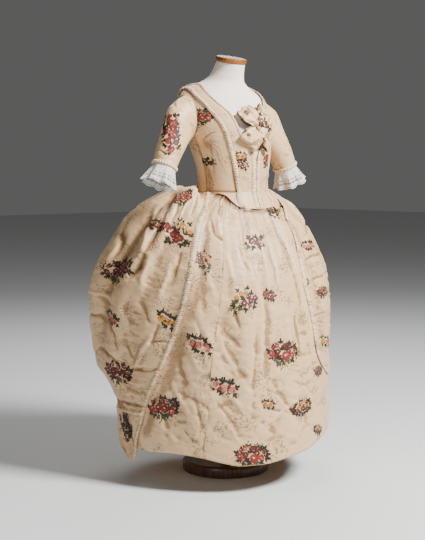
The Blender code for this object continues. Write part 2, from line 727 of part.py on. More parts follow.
def lace_point(side, turn, along, out):
    """A point of the lace ruffle, which hangs from the cuff and opens in soft waves to a scalloped edge."""
    angle = math.tau * turn
    flare = LACE_FLARE * along ** 1.4
    wave = LACE_WAVE_HEIGHT * along * math.cos(LACE_WAVES * angle + 0.6 * math.sin(2 * angle))
    scallop = LACE_SCALLOP_DEPTH * (abs(math.sin(LACE_SCALLOPS * angle * 0.5 + 0.4)) - 0.5)
    scallop = scallop * smooth(along * 3 - 2)
    drop = 1.0 + SEAM + (LACE_LENGTH + scallop) * along
    return sleeve_point(side, turn, max(drop, 1.0 + SEAM), flare + wave + out - LACE_SET_IN)


def add_lace(side, word):
    gap = seam_angle(SLEEVE_SEAM_RADIUS) / math.tau
    holes = {(i, LACE_ROWS - 2) for i in range(1, LACE_COLUMNS - 1)}
    for part, start in (("front", 0.5), ("back", 0.0)):
        def place(across, along, through, start=start):
            turn = between(start + gap, start + 0.5 - gap, across)
            return lace_point(side, turn, along, LACE_WALL * through)
        add_cloth(f"lace_{part}_{word}", LACE_COLUMNS, LACE_ROWS, place, "lace", holes)


# The skirts


def panel_edges(z):
    """The petticoat's four seams at a height, in degrees round from the right front one."""
    front = read_table(FRONT_SEAMS, z, 1)
    return (-front, front, 135.0, 225.0, 360.0 - front)


def add_petticoat():
    gap = math.degrees(seam_angle(SKIRT_SEAM_RADIUS))
    for i, word in enumerate(("front", "left", "back", "right")):
        def place(across, along, through, i=i):
            middle = between(panel_edges(0.5)[i], panel_edges(0.5)[i + 1], across)
            z = pick_row(SKIRT_ROWS + (hem_height(middle),), along)
            edges = panel_edges(z)
            degrees = between(edges[i] + gap, edges[i + 1] - gap, across)
            return skirt_point(math.radians(degrees), z, WALL * through)
        add_cloth(f"petticoat_{word}", PETTICOAT_COLUMNS, len(SKIRT_ROWS), place)


def over_fullness(share, down):
    """How full the overskirt stands off the petticoat: none at its front edges, all of it round the back.

    It fills out sooner at the gathered waist than lower down.
    """
    lower = smooth(down / WAIST_RAMP_ENDS)
    right = smooth((share - RAMP_MARGIN) / between(WAIST_RIGHT_RAMP, RIGHT_RAMP, lower))
    left = smooth((1.0 - RAMP_MARGIN - share) / between(WAIST_LEFT_RAMP, LEFT_RAMP, lower))
    return right * left


@lru_cache(maxsize=None)
def over_base(share, down):
    """The overskirt's inner face. share goes from its right front edge round the back to the left one."""
    foot = between(RIGHT_EDGE_FOOT, LEFT_EDGE_FOOT, smooth(share))
    edge_z = between(OVER_TOP, foot, down)
    right = read_table(RIGHT_EDGE, edge_z, 1)
    left = read_table(LEFT_EDGE, edge_z, 1) - 360.0
    angle = math.radians(between(right, left, share))
    rest = between(OVER_TOP_REST, OVER_REST, smooth(down * 12))
    flat = skirt_point(angle, edge_z, rest)
    reach = read_table(PUFF_PROFILE, down, 1)
    z = read_table(PUFF_PROFILE, down, 2)
    turn = read_table(PUFF_PROFILE, FLOUNCE_FROM, 2)
    if down > FLOUNCE_FROM:
        z = turn + (z - turn) * read_table(FLOUNCE, share, 1)
    outward = Vector((math.sin(angle), -math.cos(angle), 0.0))
    centre = Vector((0.0, between(SKIRT_SECTIONS[-1][4], PUFF_CENTRE_Y, smooth(down * 4)), 0.0))
    full = centre + outward * reach
    full = between(Vector((flat.x, flat.y, 0.0)), full, smooth(down * 14))
    inside = skirt_base(angle, min(max(z, 0.08), WAIST_Z - 0.001))
    clear = (Vector((inside.x, inside.y, 0.0)) - centre).length + OVER_CLEAR
    radial = full - centre
    if radial.length < clear and down > 0.1:
        full = centre + radial.normalized() * clear
    full.z = between(flat.z, z, smooth(down * 14))
    return between(flat, full, over_fullness(share, down))


def over_pleat(share, down):
    total = 0.0
    for at, half, depth, end in OVER_PLEATS:
        fade = smooth(down * 7 - 0.25) * (1.0 - smooth((down - end + 0.22) / 0.25))
        total += depth * MM * math.exp(-((share - at) / half) ** 2) * fade
    return total


@lru_cache(maxsize=None)
def over_folded(share, down):
    """The overskirt's inner face with its pleats, which die away at the resting edges."""
    step = 0.004
    base = over_base(share, down)
    across = over_base(min(share + step, 1.0), down) - over_base(max(share - step, 0.0), down)
    along = over_base(share, min(down + step, 1.0)) - over_base(share, max(down - step, 0.0))
    normal = across.cross(along).normalized()
    return base + normal * over_pleat(share, down) * smooth(over_fullness(share, down) * 3)


@lru_cache(maxsize=None)
def over_point(share, down, out):
    step = 0.003
    across = over_folded(min(share + step, 1.0), down) - over_folded(max(share - step, 0.0), down)
    along = over_folded(share, min(down + step, 1.0)) - over_folded(share, max(down - step, 0.0))
    return over_folded(share, down) + across.cross(along).normalized() * out


def add_overskirt():
    """The two halves of the looped overskirt, with the seam gap between them at centre back."""
    for word, start, end, turn in (("right", 0.0, 0.5, -1), ("left", 0.5, 1.0, 1)):
        def place(across, along, through, start=start, end=end, turn=turn):
            gap = SEAM / between(0.25, 1.6, smooth(along * 3))
            share = between(start + max(0.0, turn * gap), end + min(0.0, turn * gap), across)
            return over_point(share, along, WALL * through)
        add_cloth(f"overskirt_{word}", OVER_COLUMNS, OVER_ROWS, place)


def add_overskirt_trim(word, low, high):
    """A gathered strip down one front edge of the overskirt."""
    panel = on_cells(over_point, 2 * OVER_COLUMNS, OVER_ROWS)

    def place(across, along, through):
        pucker = TRIM_PUCKER * (0.5 + 0.5 * math.cos(math.pi * OVER_TRIM_ROWS * along)) * through
        out = WALL + STRIP_REST + STRIP_WALL * through + pucker
        return panel(between(low, high, across), between(*STRIP_ENDS, along), out)
    add_cloth(f"overskirt_trim_{word}", 1, OVER_TRIM_ROWS, place, "silk_trim")


# The bow


def bow_point(x, z, out):
    """A point over the chest, at an x and a height, so far out from the body."""
    half_width = read_table(BODY_SECTIONS, z, 1)
    return body_point(math.asin(x / half_width), z, BOW_RISE + out)


def add_bow():
    """Four ribbon loops round a knot, lying on the front of the robings."""
    for name, lean, length, half_width, swell in BOW_LOOPS:
        turn = math.radians(lean)

        def place(across, along, through, turn=turn, length=length, half=half_width, swell=swell):
            angle = between(-BOW_TURN, BOW_TURN, along) * math.pi
            thick = between(-0.5, 0.5, through) * WALL
            reach = BOW_START + length * (0.51 + 0.49 * math.cos(angle)) + math.cos(angle) * thick
            widen = half * between(BOW_PINCH, 1.0, smooth(reach / length * BOW_OPENING))
            side = between(-1.0, 1.0, across) * widen
            lift = BOW_LIFT + swell * math.sin(angle) * (0.8 - 0.25 * (side / half) ** 2)
            x = math.sin(turn) * reach + math.cos(turn) * side
            z = BOW_CENTRE_Z + math.cos(turn) * reach - math.sin(turn) * side
            return bow_point(x, z, lift + math.sin(angle) * thick)
        add_cloth(f"bow_{name}", 3, 11, place)
    bm = bmesh.new()
    bmesh.ops.create_uvsphere(bm, u_segments=10, v_segments=6, radius=1.0)
    bmesh.ops.scale(bm, verts=bm.verts, vec=(BOW_KNOT, BOW_KNOT, BOW_KNOT))
    bmesh.ops.translate(bm, verts=bm.verts, vec=bow_point(0.0, BOW_CENTRE_Z, BOW_LIFT))
    add_object("bow_knot", bm, "silk")


def main():
    for item in list(bpy.data.objects):
        bpy.data.objects.remove(item)
    group = bpy.data.collections.new("silk_dress")
    bpy.context.scene.collection.children.link(group)
    add_stand()
    add_form()
    add_bodice_back()
    for side, word in ((-1, "right"), (1, "left")):
        add_bodice_front(side, word)
        add_front_tab(side, word)
        add_robing(side, word)
        add_robing_trim(side, word, "outer")
        add_robing_trim(side, word, "inner")
        add_sleeve(side, word)
        add_cuff(side, word)
        add_lace(side, word)
    add_petticoat()
    add_overskirt()
    add_overskirt_trim("right", *RIGHT_STRIP)
    add_overskirt_trim("left", *LEFT_STRIP)
    add_bow()


main()
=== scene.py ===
"""Brocaded silk robe and petticoat on its form, laid out as an add-on with one operator for each group of pieces."""

import contextlib
import math

import bmesh
import bpy
import numpy as np
from bpy.props import FloatProperty, FloatVectorProperty
from mathutils import Matrix, Vector


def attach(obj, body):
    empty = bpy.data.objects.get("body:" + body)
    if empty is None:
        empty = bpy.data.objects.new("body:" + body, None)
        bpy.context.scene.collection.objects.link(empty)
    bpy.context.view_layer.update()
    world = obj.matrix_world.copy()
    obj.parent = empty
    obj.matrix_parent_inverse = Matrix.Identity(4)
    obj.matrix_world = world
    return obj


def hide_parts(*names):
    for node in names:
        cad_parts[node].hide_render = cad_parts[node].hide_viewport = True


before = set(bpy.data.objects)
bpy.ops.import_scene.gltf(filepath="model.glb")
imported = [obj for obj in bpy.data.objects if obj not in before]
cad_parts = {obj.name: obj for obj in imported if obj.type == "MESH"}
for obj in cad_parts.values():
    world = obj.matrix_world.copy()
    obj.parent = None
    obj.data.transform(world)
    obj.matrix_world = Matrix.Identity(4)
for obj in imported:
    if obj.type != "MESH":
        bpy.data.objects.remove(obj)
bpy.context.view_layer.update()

bl_info = {
    "name": "Silk dress",
    "version": (1, 0, 0),
    "blender": (4, 5, 0),
    "location": "3D View > Sidebar > Silk dress",
    "description": "Makes a brocaded silk robe and petticoat on a dress form",
    "category": "Add Mesh",
}

MM = 0.001
WALL = 1.5 * MM
HALF_WALL = 0.5 * WALL
HEM_DEPTH = 1.0 * MM
HEM_BACK = 3  # rows of the grid that a hem goes back behind the cloth
WAIST_Z = 0.965
NECK_TOP_Z = 1.400
NECK_TILT = math.radians(12.6)
PETTICOAT_UNDER_BODICE = 2.6 * MM
SKIRT_LOW = 0.080
HEM_LOW = 0.120
PETTICOAT_TOP = 0.9628
TAB_TOP = 0.9620

# Body sections: height, half width, front y, back y, centre y, how far back the sides are set.
BODY_SECTIONS = (
    (0.965, 0.118, -0.15, 0.082, -0.034, 0.0), (1.0, 0.119, -0.15, 0.08, -0.034, 0.0),
    (1.04, 0.124, -0.151, 0.081, -0.033, 0.0), (1.09, 0.134, -0.152, 0.095, -0.025, 0.0),
    (1.13, 0.143, -0.151, 0.108, -0.015, 0.0), (1.17, 0.152, -0.145, 0.115, -0.008, 0.002),
    (1.21, 0.16, -0.128, 0.117, -0.004, 0.006), (1.245, 0.168, -0.106, 0.114, -0.003, 0.014),
    (1.275, 0.17, -0.092, 0.106, -0.002, 0.025), (1.297, 0.154, -0.083, 0.096, -0.001, 0.036),
    (1.313, 0.127, -0.075, 0.086, 0.0, 0.044), (1.325, 0.1, -0.07, 0.077, 0.0, 0.04),
    (1.338, 0.076, -0.068, 0.066, -0.003, 0.026), (1.355, 0.062, -0.068, 0.052, -0.008, 0.008),
    (1.38, 0.052, -0.072, 0.036, -0.018, 0.0), (1.4, 0.049, -0.076, 0.022, -0.027, 0.0),
)

# Petticoat sections: height, half width, front y, back y, centre y.
SKIRT_SECTIONS = (
    (0.08, 0.366, -0.35, 0.312, 0.02), (0.2, 0.37, -0.346, 0.318, 0.02), (0.3, 0.371, -0.341, 0.32, 0.02),
    (0.4, 0.372, -0.332, 0.32, 0.02), (0.5, 0.373, -0.32, 0.318, 0.02), (0.6, 0.373, -0.303, 0.312, 0.018),
    (0.65, 0.371, -0.29, 0.307, 0.015), (0.7, 0.363, -0.275, 0.299, 0.01), (0.76, 0.347, -0.25, 0.284, 0.003),
    (0.81, 0.326, -0.225, 0.263, -0.004), (0.86, 0.286, -0.195, 0.222, -0.012), (0.9, 0.231, -0.173, 0.178, -0.019),
    (0.925, 0.189, -0.162, 0.143, -0.025), (0.945, 0.151, -0.155, 0.111, -0.03),
    (0.957, 0.128, -0.15, 0.092, -0.033), (0.965, 0.1159, -0.1474, 0.0799, -0.034),
)

# Seams on both sides of the petticoat's front panel: height, degrees from centre front. Those behind are straight.
FRONT_SEAMS = ((0.080, 52.0), (0.165, 50.0), (0.440, 44.5), (0.630, 38.0), (0.750, 34.5), (0.850, 33.5), (0.965, 42.0))
BACK_SEAM_DEGREES = (135.0, 225.0)
SEAM_DEGREES = 0.01  # from a seam to each panel

# Petticoat hem: angle from centre front in degrees, positive to the wearer's left, and height.
HEM = (
    (-180, 0.14), (-130, 0.124), (-92, 0.122), (-60, 0.13), (-43, 0.12), (-33, 0.104), (-27, 0.096), (-17, 0.0975),
    (-3, 0.111), (13, 0.13), (22, 0.145), (46, 0.168), (90, 0.165), (135, 0.15), (180, 0.14),
)

# Petticoat folds: angle, half width in degrees, height out (negative is a trough) in mm, top z, bottom z.
SKIRT_FOLDS = (
    (-118, 9, 8, 0.93, 0.1), (-98, 8, -7, 0.93, 0.1), (-80, 9, 7, 0.9, 0.12), (-64, 7, -6, 0.88, 0.2),
    (-52, 6, 5, 0.93, 0.45), (-44, 5, -4, 0.9, 0.6), (-36, 6, -7, 0.62, 0.3), (-26, 6, 5, 0.86, 0.3),
    (-14, 6, -4, 0.8, 0.16), (-2, 6, 5, 0.9, 0.2), (8, 5, -5, 0.92, 0.5), (17, 6, 6, 0.91, 0.3),
    (28, 6, -7, 0.92, 0.42), (40, 7, 6, 0.9, 0.16), (54, 8, -7, 0.9, 0.14), (70, 8, 8, 0.92, 0.12),
    (88, 9, -8, 0.93, 0.12), (106, 9, 8, 0.93, 0.12), (124, 9, -8, 0.93, 0.12), (144, 9, 7, 0.93, 0.12),
    (164, 9, -8, 0.93, 0.12), (-176, 9, 8, 0.93, 0.12), (-156, 9, -8, 0.93, 0.12), (-137, 8, 5, 0.93, 0.12),
)

# Tabs below the waist: degrees from centre front, height of the lower edge.
TAB_EDGE = (
    (0.0, 0.906), (16.0, 0.909), (25.0, 0.917), (33.0, 0.931), (46.0, 0.949), (60.0, 0.957), (72.0, 0.9615),
)

# Robing: outer edge height and angle, inner edge height and angle, from the tab up and round the back neck.
ROBING = (
    (0.914, 21.0, 0.9065, 0.15), (0.94, 29.0, 0.94, 0.15), (0.965, 34.0, 0.965, 0.15), (1.0, 37.0, 1.0, 0.15),
    (1.04, 39.0, 1.04, 0.15), (1.08, 41.0, 1.085, 2.0), (1.115, 42.5, 1.113, 8.7), (1.15, 44.0, 1.148, 21.0),
    (1.19, 47.0, 1.19, 24.0), (1.225, 52.0, 1.225, 27.0), (1.26, 58.0, 1.259, 36.0), (1.287, 69.0, 1.293, 47.0),
    (1.302, 82.0, 1.317, 62.0), (1.306, 95.0, 1.324, 80.0), (1.301, 107.0, 1.322, 98.0),
    (1.285, 120.0, 1.312, 116.0), (1.272, 133.0, 1.301, 132.0), (1.265, 146.0, 1.296, 147.0),
    (1.263, 162.0, 1.295, 163.0), (1.262, 179.85, 1.295, 179.85),
)

ARMHOLE_Z = 1.222
ARMHOLE_HALF_HEIGHT = 0.062
ARMHOLE_HALF_DEPTH = 0.034
SHOULDER_Z = 1.306
BACK_NECK_Z = 1.278
BODICE_ROWS = (0.9653, 1.000, 1.040, 1.080, 1.115, 1.147, 1.162, 1.190, 1.222, 1.254, 1.281, 1.297, 1.306)

# Sleeve rings: centre x, y and z, slope of the tube below level in degrees, half height, half depth.
SLEEVE_RINGS = (
    (0.165, 0.013, 1.213, 10, 0.0745, 0.044), (0.179, 0.012, 1.2085, 23, 0.0715, 0.0435),
    (0.196, 0.009, 1.1925, 39, 0.065, 0.0435), (0.217, 0.003, 1.16, 53, 0.054, 0.0432),
    (0.239, -0.003, 1.123, 61, 0.0468, 0.043), (0.261, -0.007, 1.085, 64, 0.042, 0.042),
    (0.278, -0.01, 1.046, 66, 0.0385, 0.0385),
)

# Overskirt front edges: height and angle from centre front, on the right side and on the left.
RIGHT_EDGE = (
    (0.08, -92.0), (0.155, -88.9), (0.21, -84.8), (0.297, -79.6), (0.383, -72.8), (0.466, -66.3), (0.548, -60.0),
    (0.659, -53.6), (0.747, -50.8), (0.831, -49.5), (0.89, -51.0), (0.922, -56.0), (0.945, -66.0), (0.957, -74.0),
    (0.9647, -78.0),
)
LEFT_EDGE = (
    (0.08, 60.0), (0.3, 44.0), (0.355, 32.0), (0.432, 19.0), (0.519, 16.1), (0.609, 14.2), (0.652, 13.7),
    (0.723, 15.0), (0.769, 16.5), (0.82, 20.5), (0.87, 27.5), (0.9, 36.0), (0.922, 48.0), (0.945, 64.0),
    (0.957, 73.0), (0.9647, 78.0),
)
RIGHT_EDGE_FOOT = 0.080
LEFT_EDGE_FOOT = 0.345

# Overskirt profile where it is fullest: share of the way down, distance out, height.
PUFF_PROFILE = (
    (0.0, 0.122, 0.96), (0.025, 0.14, 0.977), (0.06, 0.176, 0.985), (0.11, 0.226, 0.956), (0.165, 0.277, 0.916),
    (0.22, 0.322, 0.87), (0.275, 0.362, 0.815), (0.33, 0.397, 0.76), (0.39, 0.43, 0.71), (0.45, 0.446, 0.65),
    (0.51, 0.446, 0.59), (0.57, 0.444, 0.53), (0.63, 0.438, 0.47), (0.69, 0.433, 0.415), (0.74, 0.43, 0.372),
    (0.78, 0.412, 0.34), (0.825, 0.388, 0.298), (0.87, 0.368, 0.25), (0.915, 0.36, 0.195), (0.96, 0.35, 0.135),
    (1.0, 0.326, 0.08),
)
PUFF_CENTRE_Y = 0.020
FLOUNCE_FROM = 0.780
RIGHT_RAMP = 0.20
LEFT_RAMP = 0.40
WAIST_RIGHT_RAMP = 0.08
WAIST_LEFT_RAMP = 0.20
WAIST_RAMP_ENDS = 0.22
OVER_TOP = 0.9600
OVER_TOP_REST = 4.8 * MM
OVER_REST = 6.5 * MM
OVER_CLEAR = 6.0 * MM
LEVEL = np.array([1.0, 1.0, 0.0])

# Overskirt flounce below the puff: share of the way round, and how much of its full length it has there.
FLOUNCE = ((0.00, 1.00), (0.05, 0.90), (0.12, 0.78), (0.30, 0.70), (0.50, 0.62), (0.75, 0.42), (1.00, 0.24))

# Overskirt pleats: share of the way round from the right edge, half width, depth in mm, share down where it ends.
OVER_PLEATS = (
    (0.035, 0.012, 7, 0.95), (0.075, 0.016, -9, 0.6), (0.118, 0.018, 12, 0.85), (0.16, 0.017, -17, 0.72),
    (0.205, 0.019, 14, 0.8), (0.25, 0.018, -16, 0.74), (0.296, 0.02, 14, 0.86), (0.34, 0.018, -16, 0.8),
    (0.386, 0.02, 15, 0.84), (0.432, 0.018, -17, 0.9), (0.475, 0.017, 12, 0.82), (0.525, 0.017, 12, 0.82),
    (0.568, 0.018, -17, 0.9), (0.614, 0.02, 15, 0.84), (0.66, 0.018, -16, 0.8), (0.704, 0.02, 14, 0.86),
    (0.75, 0.018, -16, 0.74), (0.795, 0.019, 14, 0.8), (0.84, 0.017, -15, 0.78), (0.882, 0.018, 11, 0.85),
    (0.925, 0.016, -8, 0.7), (0.965, 0.012, 6, 0.95),
)

# Camera of the photograph: where it stands, how it is turned, and its focal length for a picture of so many pixels.
EYE = (-2.677, -2.973, 1.04)
SEEN_PIXEL = 0.00343  # metres that a pixel of the photograph covers at the dress
EYE_TURN = math.radians(-42.0)
EYE_SWING = math.radians(0.6393)  # beyond its turn, because the dress isn't in the middle of the picture
EYE_DIP = math.radians(4.93)
PIXELS = (425, 540)
FOCAL_PIXELS = 1165.0
SENSOR_MM = 36.0
NEAR_PIXELS = 5.0  # a crease that lies farther than this from a cloth isn't laid on it
SPRAY_NEAR_PIXELS = 6.0  # nor a spray with its middle farther off than this
TROUGH_SHADE = 32.0  # shade in a trough for each metre of its depth


# Settings that a user may change


class SilkSettings(bpy.types.PropertyGroup):
    """Sizes and colours of the silk."""
    silk_colour: FloatVectorProperty(
        name="Silk", description="Ground colour of the brocaded silk", subtype="COLOR", size=3,
        min=0.0, max=1.0, default=(0.69, 0.455, 0.245))
    # Painted shade: the darker, warmer colour laid on the silk down in its folds.
    fold_shade_colour: FloatVectorProperty(
        name="Silk in folds", description="Warmer colour of the silk down in its folds", subtype="COLOR", size=3,
        min=0.0, max=1.0, default=(0.30, 0.155, 0.055))
    trim_colour: FloatVectorProperty(
        name="Trim", description="Colour of the gathered strips", subtype="COLOR", size=3,
        min=0.0, max=1.0, default=(0.76, 0.56, 0.35))
    lace_colour: FloatVectorProperty(
        name="Lace", description="Colour of the sleeve lace", subtype="COLOR", size=3,
        min=0.0, max=1.0, default=(0.78, 0.74, 0.68))
    wrinkle: FloatProperty(
        name="Wrinkle height", description="Height of the fine taffeta wrinkles", unit="LENGTH",
        min=0.0, max=0.003, default=0.0011)
    spray_lift: FloatProperty(
        name="Brocade height", description="How far the brocaded sprays stand out of the silk", unit="LENGTH",
        min=0.0002, max=0.002, default=0.0006)


class StandSettings(bpy.types.PropertyGroup):
    """Colours of the form and its stand."""
    form_colour: FloatVectorProperty(
        name="Form cloth", description="Colour of the jersey over the form", subtype="COLOR", size=3,
        min=0.0, max=1.0, default=(0.88, 0.77, 0.69))
    cap_colour: FloatVectorProperty(
        name="Cap wood", description="Colour of the varnished neck cap", subtype="COLOR", size=3,
        min=0.0, max=1.0, default=(0.31, 0.095, 0.004))
    foot_colour: FloatVectorProperty(
        name="Foot wood", description="Colour of the round foot", subtype="COLOR", size=3,
        min=0.0, max=1.0, default=(0.085, 0.025, 0.006))


class StageSettings(bpy.types.PropertyGroup):
    """Floor and light."""
    floor_colour: FloatVectorProperty(
        name="Floor", description="Colour of the plain floor", subtype="COLOR", size=3,
        min=0.0, max=1.0, default=(0.70, 0.71, 0.70))
    key_power: FloatProperty(
        name="Key light", description="Power of the large soft light", unit="POWER", min=0.0, max=2000.0, default=455.0)


# Curves and surfaces


def smooth(t):
    t = np.clip(t, 0.0, 1.0)
    return t * t * (3.0 - 2.0 * t)


def mix(low, high, share):
    return low + (high - low) * share


def curve(table, key, column=1):
    """Reads one column of a table at every key, along a smooth curve through its rows."""
    xs = np.array([row[0] for row in table], float)
    ys = np.array([row[column] for row in table], float)
    steps = np.diff(ys) / np.diff(xs)
    slopes = np.concatenate([steps[:1], np.zeros(len(xs) - 2), steps[-1:]])
    rising = steps[:-1] * steps[1:] > 0
    total = np.where(rising, steps[:-1] + steps[1:], 1.0)
    slopes[1:-1] = np.where(rising, 2.0 * steps[:-1] * steps[1:] / total, 0.0)
    key = np.clip(np.asarray(key, float), xs[0], xs[-1])
    i = np.clip(np.searchsorted(xs, key, side="right") - 1, 0, len(xs) - 2)
    width = xs[i + 1] - xs[i]
    t = (key - xs[i]) / width
    return (ys[i] * (1 + 2 * t) * (1 - t) ** 2 + slopes[i] * width * t * (1 - t) ** 2
            + ys[i + 1] * t * t * (3 - 2 * t) + slopes[i + 1] * width * t * t * (t - 1))


def points(x, y, z):
    x, y, z = np.broadcast_arrays(x, y, z)
    return np.stack([x, y, z], axis=-1).astype(float)


def unit(vectors):
    return vectors / np.maximum(np.linalg.norm(vectors, axis=-1, keepdims=True), 1e-12)


def section(table, angle, z):
    """Points of an oval section, where angle 0 is centre front and angles grow to the wearer's left."""
    half_width, front, back, centre = (curve(table, z, column) for column in (1, 2, 3, 4))
    depth = np.where(np.cos(angle) > 0, centre - front, back - centre)
    set_back = curve(table, z, 5) * np.sin(angle) ** 2 if len(table[0]) > 5 else 0.0
    return points(half_width * np.sin(angle), centre - depth * np.cos(angle) + set_back, z)


def skirt_fold(angle, z):
    """How far the petticoat's large folds stand out."""
    total = 0.0
    for at, half, height, top, bottom in SKIRT_FOLDS:
        away = (np.degrees(angle) - at + 180.0) % 360.0 - 180.0
        fade = smooth((top - z) / 0.07) * smooth((z - bottom) / 0.10 + 0.6)
        total = total + height * MM * np.exp(-(away / half) ** 2) * fade
    return total


def in_skirt(z):
    """Heights held to the petticoat's own."""
    return np.clip(z, SKIRT_LOW, WAIST_Z - 1.0 * MM)


def skirt_base(angle, z):
    outward = points(np.sin(angle), -np.cos(angle), 0.0)
    return section(SKIRT_SECTIONS, angle, z) + outward * skirt_fold(angle, z)[..., None]


def offset(surface, angle, z, out):
    """Points of a surface given by angle and height, moved out along its normal."""
    step_angle, step_z = math.radians(1.0), 2.0 * MM
    along = surface(angle + step_angle, z) - surface(angle - step_angle, z)
    up = surface(angle, z + step_z) - surface(angle, z - step_z)
    return surface(angle, z) + unit(np.cross(along, up)) * np.asarray(out, float)[..., None]


def trunk_base(angle, z):
    return section(BODY_SECTIONS, angle, z)


def lap_base(angle, z):
    return offset(skirt_base, angle, z, np.full(np.shape(z), PETTICOAT_UNDER_BODICE))


def body_point(angle, z, out):
    angle, z, out = np.broadcast_arrays(angle, z, out)
    above = offset(trunk_base, angle, z, out)
    below = offset(lap_base, angle, z, out)
    return np.where((z >= WAIST_Z)[..., None], above, below)


def skirt_point(angle, z, out):
    angle, z, out = np.broadcast_arrays(angle, z, out)
    return offset(skirt_base, angle, z, out)


def pick_row(rows, share):
    """Reads evenly numbered rows at a share of the way through them."""
    rows = np.asarray(rows, float)
    return np.interp(np.clip(share, 0, 1) * (len(rows) - 1), np.arange(len(rows)), rows)


# Random wrinkles


def ripple(x, y, seed):
    """Soft random waves of period about 2, from -1 to 1."""
    n = 64
    grid = np.random.default_rng(seed).uniform(-1.0, 1.0, (n, n))
    ix, iy = np.floor(x).astype(int), np.floor(y).astype(int)
    fx, fy = smooth(x - ix), smooth(y - iy)
    a = grid[iy % n, ix % n]
    b = grid[iy % n, (ix + 1) % n]
    c = grid[(iy + 1) % n, ix % n]
    d = grid[(iy + 1) % n, (ix + 1) % n]
    return mix(mix(a, b, fx), mix(c, d, fx), fy)


def turned_ripple(x, y, angle, long_way, short_way, seed):
    """Random waves stretched along one direction, in metres."""
    c, s = math.cos(math.radians(angle)), math.sin(math.radians(angle))
    bend = 0.35 * ripple(x / 0.09, y / 0.09, seed + 7)
    return ripple((x * c + y * s) / long_way, (y * c - x * s) / short_way + bend, seed)


def crease(x, y, angle, long_way, short_way, seed):
    """Sharp-topped random creases from 0 to 1."""
    wave = turned_ripple(x, y, angle, long_way, short_way, seed)
    return np.clip(1.0 - 3.2 * np.abs(wave), 0.0, 1.0) ** 1.5


def taffeta(x, y, seed, height, level=0.0):
    """The wrinkles of crisp silk: fine ribs across, creases on both slants, and a soft unevenness."""
    fine = 0.55 * turned_ripple(x, y, level + 4, 0.060, 0.0085, seed) \
        + 0.35 * turned_ripple(x, y, level - 9, 0.035, 0.0060, seed + 1)
    calm = 0.35 + 0.65 * smooth(0.5 + ripple(x / 0.07, y / 0.10, seed + 2))
    slant = 1.1 * crease(x, y, level + 28, 0.10, 0.030, seed + 3) \
        + 0.9 * crease(x, y, level - 35, 0.09, 0.034, seed + 4)
    patch = smooth(0.45 + 0.9 * ripple(x / 0.13, y / 0.11, seed + 5))
    soft = 1.3 * ripple(x / 0.05, y / 0.045, seed + 6)
    return height * (fine * calm * 1.3 + (slant - 0.35) * patch * 1.25 + soft)


def crumple(x, y, seed, size):
    """Facets of crushed silk from about -0.5 to 0.5: soft hills that meet in narrow valleys, in three directions."""
    total = 0.0
    for n, (angle, share) in enumerate(((24, 0.5), (-38, 0.32), (74, 0.18))):
        total = total + share * np.sqrt(np.abs(turned_ripple(x, y, angle, size * 1.9, size * 0.8, seed + 11 * n)))
    return (total - 0.62) * 2.0


# Camera of the photograph


def eye_axes():
    turn = EYE_TURN + EYE_SWING
    level = Vector((-math.sin(turn), math.cos(turn), 0.0))
    right = Vector((level.y, -level.x, 0.0))
    forward = level * math.cos(EYE_DIP) - Vector((0.0, 0.0, math.sin(EYE_DIP)))
    return right, right.cross(forward), forward


def photo_pixels(places):
    """Where points fall in the photograph."""
    right, up, forward = (np.array(axis) for axis in eye_axes())
    away = places - np.array(EYE)
    depth = away @ forward
    return np.stack([PIXELS[0] / 2 + FOCAL_PIXELS * (away @ right) / depth,
                     PIXELS[1] / 2 - FOCAL_PIXELS * (away @ up) / depth], axis=-1)


# Cloth


def grid_normals(places):
    across = np.gradient(places, axis=1)
    along = np.gradient(places, axis=0)
    return unit(np.cross(along, across))


def soften(values, radius):
    """Box blur of a grid, with its edges held."""
    for axis in (0, 1):
        pad = [(radius + 1, radius) if i == axis else (0, 0) for i in range(values.ndim)]
        total = np.cumsum(np.pad(values, pad, mode="edge"), axis=axis)
        size = 2 * radius + 1
        high = np.take(total, np.arange(size, total.shape[axis]), axis=axis)
        low = np.take(total, np.arange(0, total.shape[axis] - size), axis=axis)
        values = (high - low) / size
    return values


